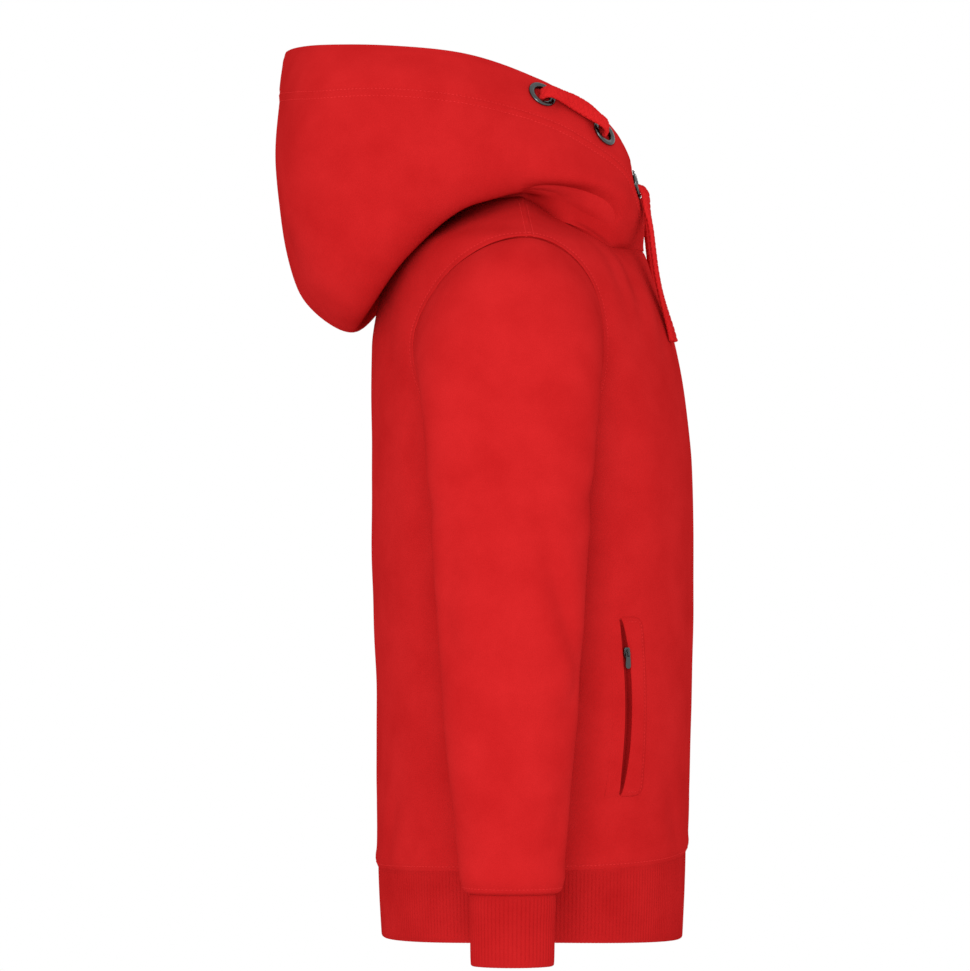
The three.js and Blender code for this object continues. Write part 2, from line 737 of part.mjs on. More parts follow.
// A flat cord along a list of points; wide gives the direction of its width at each point
function flatCord(points, wide) {
  const rings = points.map((point, i) => {
    const before = points[Math.max(0, i - 1)];
    const after = points[Math.min(points.length - 1, i + 1)];
    const along = after.clone().sub(before).normalize();
    const side = wide[i].clone().addScaledVector(along, -wide[i].dot(along)).normalize();
    const flat = new THREE.Vector3().crossVectors(along, side);
    const ring = [];
    for (let k = 0; k < cord.sides; k += 1) {
      const angle = (k / cord.sides) * 2 * Math.PI;
      const p = point.clone().addScaledVector(side, cord.halfWidth * Math.cos(angle));
      ring.push(p.addScaledVector(flat, cord.halfThick * Math.sin(angle)));
    }
    return ring;
  });
  const all = [...rings.flat(), points[0], points[points.length - 1]];
  const faces = [];
  const at = (ring, k) => ring * cord.sides + (k % cord.sides);
  for (let ring = 0; ring < rings.length - 1; ring += 1) {
    for (let k = 0; k < cord.sides; k += 1) {
      faces.push([at(ring, k), at(ring, k + 1), at(ring + 1, k + 1)]);
      faces.push([at(ring, k), at(ring + 1, k + 1), at(ring + 1, k)]);
    }
  }
  const [start, end] = [rings.length * cord.sides, rings.length * cord.sides + 1];
  for (let k = 0; k < cord.sides; k += 1) {
    faces.push([start, at(0, k + 1), at(0, k)]);
    faces.push([end, at(rings.length - 1, k), at(rings.length - 1, k + 1)]);
  }
  return bodyFrom(all, faces);
}

// Points that leave an eyelet's hole and bend over towards a direction
function cordLeaving({ centre, out }, towards, exit) {
  const lean = towards.clone().addScaledVector(out, -towards.dot(out)).normalize();
  return exit.map(({ high, far }) => {
    return centre.clone().addScaledVector(out, high).addScaledVector(lean, far);
  });
}

function cordLace(high, low) {
  const between = low.centre.clone().sub(high.centre);
  const start = cordLeaving(high, between, cordExits.lace);
  const end = cordLeaving(low, between.clone().negate(), cordExits.lace).reverse();
  const a = start[start.length - 1];
  const b = end[0];
  const middle = [0.2, 0.4, 0.6, 0.8].map((t) => {
    const out = high.out.clone().lerp(low.out, t).normalize();
    return a.clone().lerp(b, t).addScaledVector(out, (cord.lift * 4 * t * (1 - t)) / 3);
  });
  const points = [...start, ...middle, ...end];
  const wide = points.map((_, i) => {
    const t = i / (points.length - 1);
    const turned = cord.turned * smoothStep((0.5 - Math.abs(t - 0.5) - 0.2) / 0.25);
    const face = high.out.clone().lerp(low.out, t).lerp(new THREE.Vector3(1, 0, 0), turned);
    return new THREE.Vector3().crossVectors(face, between).normalize();
  });
  return flatCord(points, wide);
}

function cordEnd(frame) {
  const down = new THREE.Vector3(0, 0, -1);
  const start = cordLeaving(frame, down, cordExits.end);
  const rest = cordEndRoute.map((row) => new THREE.Vector3(row.x, row.y, row.z));
  const curve = new THREE.CatmullRomCurve3([...start, ...rest], false, "centripetal");
  const points = Array.from({ length: 23 }, (_, i) => curve.getPoint(i / 22));
  const across = new THREE.Vector3(1, 0.18, 0).normalize();
  return flatCord(points, points.map(() => across));
}

// Pocket on the wearer's left side of the front

function openingDepthAt(z) {
  const share = (z - pocket.middle) / ((pocket.top - pocket.bottom) / 2);
  return pocket.openingDepth + pocket.bow * share * share;
}

function surfaceAt(y, z, lift) {
  const angle = angleAtDepth(y, z);
  return bodyPoint(angle, z).addScaledVector(bodyNormal(angle, z), lift);
}

// A patch laid on the front panel between two edges that are given as depths at each height
function patch(edgeA, edgeB, top, bottom, columns, rows, lift, thick) {
  const net = (height) => Array.from({ length: rows + 1 }, (_, r) => {
    const z = mix(bottom, top, r / rows);
    return Array.from({ length: columns + 1 }, (_unused, c) => {
      return surfaceAt(mix(edgeA(z), edgeB(z), c / columns), z, height);
    });
  });
  return wall(net(lift + thick), net(lift), false);
}

function pocketWelt() {
  const inner = (z) => openingDepthAt(z) - pocketParts.stripHalf * pocket.depthShare - pocketParts.weltGap;
  const outer = (z) => {
    const share = (z - pocket.middle) / ((pocket.top - pocket.bottom) / 2);
    return pocketParts.weltEdge + pocketParts.weltEdgeBow * share * share;
  };
  return patch(outer, inner, pocket.top, pocket.bottom, 4, 9, pocketParts.lift, pocketParts.weltThick);
}

function zipStrip() {
  const half = pocketParts.stripHalf * pocket.depthShare;
  const edgeA = (z) => openingDepthAt(z) - half;
  const edgeB = (z) => openingDepthAt(z) + half;
  return patch(edgeA, edgeB, pocket.top, pocket.bottom, 2, 9, pocketParts.lift, pocketParts.stripThick);
}

// Place of the slider: the point on the panel, the way out of the cloth, the way across, and the way up
function sliderFrame() {
  const y = openingDepthAt(slider.height);
  const angle = angleAtDepth(y, slider.height);
  const foot = bodyPoint(angle, slider.height);
  const out = bodyNormal(angle, slider.height);
  const up = new THREE.Vector3(0, 0, 1).addScaledVector(out, -out.z).normalize();
  const across = new THREE.Vector3().crossVectors(up, out);
  return { foot, out, up, across };
}

function placed(geometry, frame) {
  const basis = new THREE.Matrix4().makeBasis(frame.across, frame.up, frame.out);
  basis.setPosition(frame.foot);
  return geometry.applyMatrix4(basis);
}

function box(width, height, depth, x, y, z) {
  const geometry = new THREE.BoxGeometry(width, height, depth);
  return geometry.translate(x, y, z);
}

function zipSlider(frame) {
  const deck = slider.lift + slider.thick;
  const tall = bridge.clear + bridge.thick;
  const shape = new THREE.Shape();
  shape.moveTo(-slider.half * 0.72, -slider.below);
  shape.lineTo(slider.half * 0.72, -slider.below);
  shape.lineTo(slider.half, -slider.below * 0.4);
  shape.lineTo(slider.half, slider.above * 0.6);
  shape.lineTo(slider.half * 0.8, slider.above);
  shape.lineTo(-slider.half * 0.8, slider.above);
  shape.lineTo(-slider.half, slider.above * 0.6);
  shape.lineTo(-slider.half, -slider.below * 0.4);
  shape.closePath();
  const plate = new THREE.ExtrudeGeometry(shape, { depth: slider.thick, bevelEnabled: false });
  plate.translate(0, 0, slider.lift);
  const span = bridge.above + bridge.below;
  const middle = (bridge.above - bridge.below) / 2;
  const pieces = [
    box(bridge.width, span, bridge.thick, 0, middle, deck + bridge.clear + bridge.thick / 2),
    box(bridge.width, bridge.thick, tall + 0.2, 0, bridge.above - bridge.thick / 2, deck + tall / 2 - 0.1),
    box(bridge.width, bridge.thick, tall + 0.2, 0, bridge.thick / 2 - bridge.below, deck + tall / 2 - 0.1),
  ];
  const solid = pieces.reduce((sum, piece) => sum.add(toSolid(piece)), toSolid(plate));
  return placed(fromSolid(solid), frame);
}

function zipPull(frame) {
  const shape = new THREE.Shape();
  const tip = pull.bar - pull.length;
  shape.moveTo(-pull.topHalf + 0.5, pull.bar);
  shape.lineTo(-pull.topHalf, pull.bar - 0.6);
  shape.lineTo(-pull.topHalf, -pull.windowEnd);
  shape.lineTo(-pull.endHalf, tip + 3);
  shape.absarc(0, tip + pull.endHalf, pull.endHalf, Math.PI, 2 * Math.PI, false);
  shape.lineTo(pull.endHalf, tip + 3);
  shape.lineTo(pull.topHalf, -pull.windowEnd);
  shape.lineTo(pull.topHalf, pull.bar - 0.6);
  shape.lineTo(pull.topHalf - 0.5, pull.bar);
  shape.closePath();
  const form = { depth: pull.thick, bevelEnabled: false, curveSegments: 6 };
  const plate = new THREE.ExtrudeGeometry(shape, form);
  plate.translate(0, 0, axisLift - pull.thick / 2);
  const windowTall = pull.windowEnd - pull.bar;
  const window = box(2 * pull.windowHalf, windowTall, 4, 0, -pull.bar - windowTall / 2, axisLift);
  return placed(fromSolid(toSolid(plate).subtract(toSolid(window))), frame);
}

add("front", panel("front"), clothMaterial);
add("back", panel("back"), clothMaterial);
add("hem_rib", hemRib(), ribMaterial);
addPair("sleeve", sleeve(), clothMaterial);
addPair("cuff", cuff(), ribMaterial);

const eyelets = eyeletPlaces.map((turn) => eyeletFrame(turn));
const cutters = eyelets.map((frame) => eyeletCutter(frame));
const hoodSolid = cutters.reduce((solid, cutter) => solid.subtract(cutter), toSolid(hoodHalf()));
addPair("hood", fromSolid(hoodSolid), clothMaterial);
eyelets.forEach((frame, i) => {
  const ring = eyeletRing(frame);
  add(`eyelet_left_${i + 1}`, ring, metalMaterial);
  add(`eyelet_right_${i + 1}`, mirrored(ring), metalMaterial);
});
addPair("cord_lace", cordLace(eyelets[0], eyelets[1]), cordMaterial);
addPair("cord_end", cordEnd(eyelets[2]), cordMaterial);

const frame = sliderFrame();
addPair("pocket_welt", pocketWelt(), clothMaterial);
addPair("zip_strip", zipStrip(), cordMaterial);
addPair("zip_slider", zipSlider(frame), metalMaterial);
addPair("zip_pull", zipPull(frame), metalMaterial);

export default hoodie;
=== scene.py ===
import math

import bmesh
import bpy
import numpy as np
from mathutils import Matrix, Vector
from mathutils.bvhtree import BVHTree
from mathutils.kdtree import KDTree


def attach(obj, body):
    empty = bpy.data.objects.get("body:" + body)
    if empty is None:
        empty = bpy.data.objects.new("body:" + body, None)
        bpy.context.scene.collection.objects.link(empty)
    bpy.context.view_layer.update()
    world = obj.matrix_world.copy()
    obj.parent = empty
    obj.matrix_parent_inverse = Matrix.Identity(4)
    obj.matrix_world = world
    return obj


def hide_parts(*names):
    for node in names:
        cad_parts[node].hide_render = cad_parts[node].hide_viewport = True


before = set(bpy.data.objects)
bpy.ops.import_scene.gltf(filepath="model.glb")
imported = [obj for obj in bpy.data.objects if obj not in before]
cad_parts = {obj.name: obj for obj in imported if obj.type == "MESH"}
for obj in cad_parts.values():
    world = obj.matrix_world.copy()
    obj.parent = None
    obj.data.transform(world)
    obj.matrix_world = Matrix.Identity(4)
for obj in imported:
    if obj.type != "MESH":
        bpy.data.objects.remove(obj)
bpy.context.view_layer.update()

# A child's pullover hoodie in plain sweatshirt fleece, hood down, standing hollow in its worn shape.
# Tables and nets of points are in millimetres, and every mesh is made in metres.
# Front is towards -Y and the wearer's right towards -X. Pieces are worked out on the left and mirrored.

MM = 0.001
SEAM_GAP = 0.12
BODY_CLOTH = 2.2
RIB_CLOTH = 2.8
CASING_CLOTH = 4.6
CASING_HEIGHT = 34.0
CASING_DEEPER = 14.0
CASING_ROWS = 5.6

HEM_SEAM = {"front": -490.0, "side": -495.0, "back": -503.0}
HEM_EDGE = {"front": -554.5, "side": -546.5, "back": -553.5}
HEM_STEP_IN = 1.2
NECK_DROP = {"front": 37.0, "back": 12.0, "front_reach": 0.45, "back_reach": 0.8}
ARMHOLE_TOP = -35.0
UNDERARM = {"depth": 5.0, "height": -190.0}
SIDE_SEAM_AT_HEM = -4.0

# Spans of the panels' nets, in the cells that share out the seams: side seam, armhole, shoulder, neck
SIDE_SPAN, ARMHOLE_SPAN, SHOULDER_SPAN, NECK_SPAN = 6, 11, 5, 12


def named(columns, rows):
    """A table's columns by name"""
    values = np.array(rows, float)
    return {column: values[:, i] for i, column in enumerate(columns)}


# Horizontal sections of the body: half is the reach to each side, front and back are depths along Y,
# the powers make a section rounder or squarer, and pinch draws in the hollow between neck and shoulder
BODY_SECTIONS = named(
    ["z", "half", "front", "back", "centre", "front_power", "back_power", "pinch"],
    [
        [-520, 154.0, -124.5, 109.4, -8, 2.7, 2.7, 0],
        [-440, 155.0, -127.0, 109.6, -8, 2.6, 2.6, 0],
        [-378, 156.0, -129.0, 109.8, -8, 2.6, 2.6, 0],
        [-310, 157.0, -130.4, 112.0, -8, 2.5, 2.5, 0],
        [-256, 158.0, -130.6, 113.2, -8, 2.5, 2.5, 0],
        [-200, 158.0, -129.2, 113.6, -8, 2.5, 2.5, 0],
        [-150, 162.0, -123.7, 113.6, -7, 2.3, 2.4, 0],
        [-110, 166.0, -117.0, 113.2, -6, 2.05, 2.3, 0],
        [-85, 169.0, -109.0, 110.0, -5.5, 1.95, 2.2, 0],
        [-60, 171.0, -100.5, 104.0, -5, 1.75, 2.1, 0.03],
        [-46, 172.0, -96.2, 98.0, -5, 1.55, 2.0, 0.06],
        [-36, 170.0, -92.0, 92.0, -5, 1.35, 1.9, 0.08],
        [-24, 143.0, -70.0, 77.0, -3.5, 1.2, 1.8, 0.03],
        [-12, 110.0, -52.0, 60.0, -1.5, 1.05, 1.8, 0],
        [0, 78.0, -38.0, 50.0, 0, 1.05, 1.8, 0],
        [12, 46.0, -26.0, 40.0, 0, 1.05, 1.8, 0],
    ],
)

# The armhole seam seen from the side, every twelfth of a turn: shoulder tip, back, underarm, front
ARMHOLE_TURNS = np.array(
    [
        [-5, ARMHOLE_TOP],
        [28, -42],
        [59, -66],
        [78.5, -105],
        [72, -146],
        [42, -178],
        [UNDERARM["depth"], UNDERARM["height"]],
        [-28, -180],
        [-50, -152],
        [-58, -113],
        [-52, -72],
        [-33, -46],
    ]
)

# Rings of the sleeve: its outer and inner edge seen from the front, its middle and width seen from
# the side, and how far a ring has gone from the armhole's own shape (0) to an even oval (1)
SLEEVE_RINGS = named(
    ["out_x", "out_z", "in_x", "in_z", "centre", "width", "oval"],
    [
        [169, -35, 158, -190, 10.5, 137, 0],
        [184, -41, 163, -190.5, 10.3, 136, 0.35],
        [199, -54, 168, -192.5, 10.0, 134, 0.65],
        [212, -78, 170.5, -197, 9.8, 131, 0.85],
        [222, -108, 171, -204, 9.6, 128, 0.95],
        [229, -145, 171, -214, 9.4, 124, 1],
        [233, -190, 171, -227, 9.2, 119, 1],
        [236, -240, 170.5, -243, 9.2, 113.5, 1],
        [239, -290, 173, -290, 9.4, 107.5, 1],
        [242, -340, 177, -340, 9.6, 100.5, 1],
        [244, -390, 181, -390, 9.6, 93.5, 1],
        [246, -440, 187, -440, 9.0, 84, 1],
        [248, -478, 191, -478, 8.2, 76, 1],
        [248, -498, 194.5, -498, 7.8, 71.8, 1],
        [245.8, -503.6, 196.6, -503.6, 7.7, 68.5, 1],
        [241.4, -505.4, 200.6, -505.4, 7.7, 61.5, 1],
    ],
)

# Rings of the cuff, from its seam down to its open end
CUFF_RINGS = named(
    ["z", "centre_x", "depth", "centre", "width"],
    [
        [-505.8, 221, 40.5, 7.7, 61.4],
        [-511, 221, 41, 7.8, 61.6],
        [-530, 221.5, 39.5, 8, 60.4],
        [-550, 222, 38, 8, 59.8],
        [-555.6, 222, 37, 8, 59.4],
    ],
)

# Lines round the hood on the wearer's left, at eighths of the way from centre front to centre back:
# the stand, the slope over the shoulder, the fold, the belly, the side, the casing's foot and the rim
HOOD_LINES = np.array(
    [
        [
            [0, -92.2, -33], [33, -85.2, -33], [63, -69, -32], [77.5, -36.5, -15.5], [80.5, -1, 4.5],
            [75, 32, 2], [56.5, 47, -3.5], [29, 59.5, -6.5], [0, 64, -7.5],
        ],
        [
            [0, -92.4, -29], [34.5, -87, -26], [66.5, -72, -21], [84, -40, -6], [92.5, 0, 1],
            [94, 38, -5], [86, 74, -23], [58, 97, -37], [0, 107, -42],
        ],
        [
            [0, -92.6, -26], [36.5, -89.8, -16], [69.5, -76, -4], [92, -39, 4], [105, 2, 1],
            [113, 46, -12], [110, 86, -46], [80, 116, -86], [0, 127.5, -98],
        ],
        [
            [0, -92.7, -23.5], [36, -90.4, -8], [67, -77, 8], [96, -40, 14], [114, 4, 13],
            [123, 55, 0], [125, 100, -30], [98, 144, -66], [0, 166, -73],
        ],
        [
            [0, -92.6, -21], [34, -89.9, -1], [62, -77, 20], [94, -40, 30], [117, 8, 39],
            [127, 66, 35], [129, 120, 24], [97, 169, 21], [0, 185.3, 24],
        ],
        [
            [0, -92.3, -19], [28, -88.8, 6], [53, -76, 34], [80, -44, 53], [102, 0, 68],
            [114, 52, 79], [117, 110, 83], [90, 160.5, 83], [0, 182.4, 82.5],
        ],
        [
            [0, -91.8, -17], [21, -86.4, 11], [43, -73.2, 47], [62, -49, 68], [80, -9, 88],
            [94, 40, 103.5], [98.5, 97, 109.5], [80, 152, 111.2], [0, 179.6, 112],
        ],
    ],
    float,
)
HOOD_TOP = len(HOOD_LINES)

# Eyelets on each side's casing, by their place from centre front (0) to centre back (1)
EYELET = {"outer": 11.2, "bore": 6.8, "rise": 1.5, "seat": 1.0, "from_rim": 14.0, "well": 4.0, "press": 0.9}
EYELET_PLACES = [0.471, 0.313, 0.16]

# The flat braided cord, how it comes out of an eyelet as (height over the casing, how far it has gone),
# and the route of its free end on the wearer's left
CORD = {"half_width": 5.9, "half_thick": 2.1, "lift": 6.4, "turned": 0.55}
CORD_EXITS = {
    "lace": [(-1.2, 0), (0.4, 0.1), (2.2, 0.9), (4.3, 2.6), (5.8, 5.4)],
    "end": [(-1.2, 2.2), (0.4, 2.5), (2.0, 3.7), (3.4, 6.0), (4.0, 9.2)],
}
CORD_END_ROUTE = [
    (39.6, -94.4, -8), (41, -97, -22), (42.8, -98.9, -38), (45, -100.9, -54),
    (47.6, -103.9, -70), (50.6, -108.1, -86), (53, -111.2, -97), (55, -113.4, -106.5),
]
# The rounding of a cord's cut end as (share of its section, how far on)
CORD_END_ROUNDING = [(0.9, 0.5), (0.6, 0.9), (0.25, 1.05)]
# How the free end's flat side turns away from the front, in degrees at shares of its length
CORD_END_TURN = ([0, 0.12, 0.25, 0.7, 0.85, 1], [30, 24, 4, 4, 14, 26])

# The zip pocket on each side of the front
POCKET = {
    "top": -311.0, "bottom": -442.0, "middle": -376.0, "opening": -76.8, "bow": 6.0, "depth_share": 0.78,
}
WELT = {"strip_half": 2.8, "edge": -90.2, "edge_bow": 3.2, "corner": 8.0, "row_in": 2.3, "gap": 0.1}
LIP_WIDTH = 9.0
TAPE = {"lap": 0.3, "short": 2.0}


# Pieces are worked out on the wearer's left, and this puts their points on either side
SIDES = {"left": np.array([1, 1, 1]), "right": np.array([-1, 1, 1])}


def mix(a, b, t):
    return a + (b - a) * t


def smooth_step(value):
    t = np.clip(value, 0, 1)
    return t * t * (3 - 2 * t)


def unit(vectors):
    return vectors / np.maximum(np.linalg.norm(vectors, axis=-1, keepdims=True), 1e-9)


def hermite(t, span, start, end, slope_start, slope_end):
    """Cubic between two values with given slopes, at t from 0 to 1 of a span"""
    return (
        (2 * t**3 - 3 * t**2 + 1) * start
        + (t**3 - 2 * t**2 + t) * span * slope_start
        + (3 * t**2 - 2 * t**3) * end
        + (t**3 - t**2) * span * slope_end
    )


def read_table(table, key, column, at):
    """Smooth values of a column between a table's rows, without overshoot"""
    keys, values = table[key], table[column]
    step = np.diff(keys)
    rise = np.diff(values) / step
    before, after = rise[:-1], rise[1:]
    heavy, light = 2 * step[1:] + step[:-1], step[1:] + 2 * step[:-1]
    same_way = before * after > 0
    inner = np.zeros(len(before))
    inner[same_way] = (heavy + light)[same_way] / (
        heavy[same_way] / before[same_way] + light[same_way] / after[same_way]
    )
    slope = np.concatenate([[rise[0]], inner, [rise[-1]]])
    i = np.clip(np.searchsorted(keys, at) - 1, 0, len(keys) - 2)
    t = (at - keys[i]) / step[i]
    return hermite(t, step[i], values[i], values[i + 1], slope[i], slope[i + 1])


def spline(points, t, closed=False):
    """Centripetal curve through the points of the first axis, read at t from 0 to 1"""
    points = np.asarray(points, float)
    count = len(points)
    at = np.asarray(t, float) * (count if closed else count - 1)
    if closed:
        i = np.floor(at).astype(int)
        p0, p1, p2, p3 = (points[(i + k) % count] for k in (-1, 0, 1, 2))
    else:
        i = np.clip(np.floor(at).astype(int), 0, count - 2)
        grown = np.concatenate([[2 * points[0] - points[1]], points, [2 * points[-1] - points[-2]]])
        p0, p1, p2, p3 = (grown[i + k] for k in range(4))
    s = (at - i).reshape((at - i).shape + (1,) * (p1.ndim - i.ndim))
    d0, d1, d2 = (
        np.sqrt(np.maximum(np.linalg.norm(b - a, axis=-1, keepdims=True), 1e-6))
        for a, b in ((p0, p1), (p1, p2), (p2, p3))
    )
    out = ((p1 - p0) / d0 - (p2 - p0) / (d0 + d1) + (p2 - p1) / d1) * d1
    come = ((p2 - p1) / d1 - (p3 - p1) / (d1 + d2) + (p3 - p2) / d2) * d1
    return p1 + s * (out + s * (3 * (p2 - p1) - 2 * out - come + s * (2 * (p1 - p2) + out + come)))


def lengths(points):
    """How far along a line of points each one is"""
    return np.concatenate([[0], np.cumsum(np.linalg.norm(np.diff(points, axis=0), axis=1))])


def read_at(wanted, places, points):
    """Points of a line at wanted places between known ones"""
    return np.stack([np.interp(wanted, places, points[:, k]) for k in range(3)], 1)


# The body's surface


def body_point(angle, z):
    """The angle runs from 0 at centre front over 90 degrees at the wearer's left to 180 at the back"""
    angle, z = np.broadcast_arrays(np.asarray(angle, float), np.asarray(z, float))
    size = {name: read_table(BODY_SECTIONS, "z", name, z) for name in BODY_SECTIONS if name != "z"}
    c, s = np.cos(angle), np.sin(angle)
    ahead = c >= 0
    depth = np.abs(np.where(ahead, size["front"], size["back"]) - size["centre"])
    power = np.where(ahead, size["front_power"], size["back_power"])
    reach = ((np.abs(c) / depth) ** power + (np.abs(s) / size["half"]) ** power) ** (-1 / power)
    reach = np.where(ahead, reach * (1 - size["pinch"] * np.sin(2 * angle) ** 4), reach)
    return np.stack([reach * s, size["centre"] - reach * c, z], -1)


def body_normal(angle, z, turn=0.004, rise=0.6):
    across = body_point(angle + turn, z) - body_point(angle - turn, z)
    up = body_point(angle, z + rise) - body_point(angle, z - rise)
    return unit(np.cross(across, up))


def angle_at_depth(y, z):
    """Angle on the wearer's left at which a section reaches the depth y"""
    y, z = np.broadcast_arrays(np.asarray(y, float), np.asarray(z, float))
    low, high = np.zeros(y.shape), np.full(y.shape, math.pi)
    for _ in range(34):
        middle = (low + high) / 2
        short = body_point(middle, z)[..., 1] < y
        low, high = np.where(short, middle, low), np.where(short, high, middle)
    return (low + high) / 2


def height_round(levels, angle):
    c = np.cos(angle)
    return mix(levels["side"], np.where(c > 0, levels["front"], levels["back"]), c * c)


def neck_height(angle):
    from_side = np.abs(math.pi / 2 - np.abs(angle)) / (math.pi / 2)
    share = np.minimum(1, from_side / NECK_DROP["front_reach"])
    ahead = -NECK_DROP["front"] * mix(share, smooth_step(share), 0.6)
    behind = -NECK_DROP["back"] * smooth_step(from_side / NECK_DROP["back_reach"])
    return np.where(np.cos(angle) > 0, ahead, behind)


def loop_through(rows, turn):
    """Closed even curve through rows of numbers"""
    count = len(rows)
    at = (np.asarray(turn, float) % 1) * count
    i = np.floor(at).astype(int)
    t = (at - i)[..., None]
    a, b, c, d = (rows[(i + k) % count] for k in (-1, 0, 1, 2))
    turn_in, turn_out = (c - a) / 2, (d - b) / 2
    sharp = 2 * b - 2 * c + turn_in + turn_out
    return ((sharp * t + 3 * (c - b) - 2 * turn_in - turn_out) * t + turn_in) * t + b


def armhole_angle(turn):
    hole = loop_through(ARMHOLE_TURNS, turn)
    return angle_at_depth(hole[..., 0], hole[..., 1]), hole[..., 1]


# Meshes from nets of points


def net_normals(net, closed):
    if closed:
        wide = np.concatenate([net[:, -1:], net, net[:, :1]], 1)
        across = wide[:, 2:] - wide[:, :-2]
    else:
        across = np.gradient(net, axis=1)
    return unit(np.cross(across, np.gradient(net, axis=0)))


def joined_up(net, closed):
    """A net with its first column again at its end, where it goes all round"""
    return np.concatenate([net, net[:, :1]], 1) if closed else net


def grain_of(net, closed):
    """The cloth's own lengths in metres over a net: along its rows from their middle, and up its columns"""
    wide = joined_up(net, closed)
    steps = np.linalg.norm(np.diff(wide, axis=1), axis=-1)
    along = np.concatenate([np.zeros((len(wide), 1)), np.cumsum(steps, 1)], 1)
    along -= along[:, -1:] / 2
    climbs = np.linalg.norm(np.diff(wide, axis=0), axis=-1)
    up = np.concatenate([np.zeros((1, wide.shape[1])), np.cumsum(climbs, 0)], 0)
    return np.stack([along, up], -1) * MM


def cells_of(rows, columns, rows_meet=False, columns_meet=True):
    """Row and column of each cell of a net, and the next row and column"""
    r, c = np.meshgrid(
        np.arange(rows if rows_meet else rows - 1), np.arange(columns if columns_meet else columns - 1),
        indexing="ij",
    )
    r, c = r.ravel(), c.ravel()
    return r, c, (r + 1) % rows, (c + 1) % columns


def corners_of(r, c, up, side, columns):
    return np.stack([r * columns + c, r * columns + side, up * columns + side, up * columns + c], 1)


def roll(edge, inner_edge, away, steps=4):
    """Rows that carry a cloth edge round from its outer to its inner side"""
    middle, half = (edge + inner_edge) / 2, (edge - inner_edge) / 2
    size = np.linalg.norm(half, axis=-1, keepdims=True)
    turns = [math.pi * (k + 1) / (steps + 1) for k in range(steps)]
    return np.stack([middle + half * math.cos(a) + away * size * math.sin(a) for a in turns])


def shell(name, outer, inner, grain, closed=False, steps=4):
    """A closed wall between two nets, its first and last rows rolled over, as a mesh in metres"""
    rows, columns = outer.shape[:2]
    top = roll(outer[-1], inner[-1], unit(outer[-1] - outer[-2]), steps)
    foot = roll(inner[0], outer[0], unit(outer[0] - outer[1]), steps)
    net = np.concatenate([outer, top, inner[::-1], foot])
    cloth = np.concatenate(
        [grain, np.repeat(grain[-1:], steps, 0), grain[::-1], np.repeat(grain[:1], steps, 0)]
    )
    count = len(net)
    wide = cloth.shape[1]
    r, c, up, side = cells_of(count, columns, True, closed)
    corner = corners_of(r, c, up, side, columns)
    lay = corners_of(r, c, up, c + 1, wide)
    if not closed:
        half = steps // 2
        outside = [*range(count - half, count), *range(rows + half)]
        inside = range(count - half - 1, rows + half - 1, -1)
        a, b = np.array(outside), np.array(inside)
        for column, turned in ((0, False), (columns - 1, True)):
            cap = np.stack([a[:-1], b[:-1], b[1:], a[1:]], 1)
            if turned:
                cap = cap[:, ::-1]
            corner = np.concatenate([corner, cap * columns + column])
            lay = np.concatenate([lay, cap * wide + column])
    inward = np.zeros(len(corner), int)
    inward[: len(r)] = (r >= rows + steps - 1) & (r < 2 * rows + steps)
    points = net.reshape(-1, 3)
    first = points[corner]
    volume = np.einsum("ij,ij->", first[:, 0], np.cross(first[:, 1], first[:, 2]))
    volume += np.einsum("ij,ij->", first[:, 0], np.cross(first[:, 2], first[:, 3]))
    if volume < 0:
        corner, lay = corner[:, ::-1], lay[:, ::-1]
    mesh = mesh_from(name, points, corner, cloth.reshape(-1, 2)[lay])
    mesh.polygons.foreach_set("material_index", inward.astype(np.int32))
    return mesh


def mesh_from(name, points, faces, cloth=None, sharp=50):
    mesh = bpy.data.meshes.new(name)
    mesh.from_pydata((np.asarray(points) * MM).tolist(), [], np.asarray(faces).tolist())
    if cloth is not None:
        layer = mesh.uv_layers.new(name="Grain")
        layer.data.foreach_set("uv", np.asarray(cloth, np.float32).ravel())
    mesh.polygons.foreach_set("use_smooth", np.ones(len(mesh.polygons), bool))
    mesh.set_sharp_from_angle(angle=math.radians(sharp))
    mesh.update()
    return mesh


def side_shell(name, flip, outer, inner, grain, closed=False):
    """A wall on the left, or mirrored with its columns turned round, so that its faces keep their way out"""
    if flip[0] < 0:
        outer, inner, grain = outer[:, ::-1] * flip, inner[:, ::-1] * flip, grain[:, ::-1]
    return shell(name, outer, inner, grain, closed)


def in_scene(name, data):
    thing = bpy.data.objects.new(name, data)
    bpy.context.scene.collection.objects.link(thing)
    return thing


def finished(thing):
    """The mesh of an object with its modifiers applied, in place of the object"""
    bpy.context.view_layer.update()
    mesh = bpy.data.meshes.new_from_object(thing.evaluated_get(bpy.context.evaluated_depsgraph_get()))
    bpy.data.objects.remove(thing)
    return mesh


def piece(name, mesh, material, body="garment", nodes=()):
    thing = in_scene(name, mesh)
    if material is not None:
        for side_material in material if isinstance(material, tuple) else (material,):
            mesh.materials.append(side_material)
    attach(thing, body)
    if nodes:
        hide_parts(*nodes)
    return thing


# Relief of the cloth


def nearest_on(net, line):
    """Distance of each of a net's points from a line of close points, and the nearest one's share of it"""
    line = np.asarray(line, float).reshape(-1, 3)
    tree = KDTree(len(line))
    for i, point in enumerate(line):
        tree.insert(point, i)
    tree.balance()
    found = np.array([tree.find(point)[1:] for point in net.reshape(-1, 3)])
    return found[:, 1].reshape(net.shape[:-1]), found[:, 0].reshape(net.shape[:-1]) / (len(line) - 1)


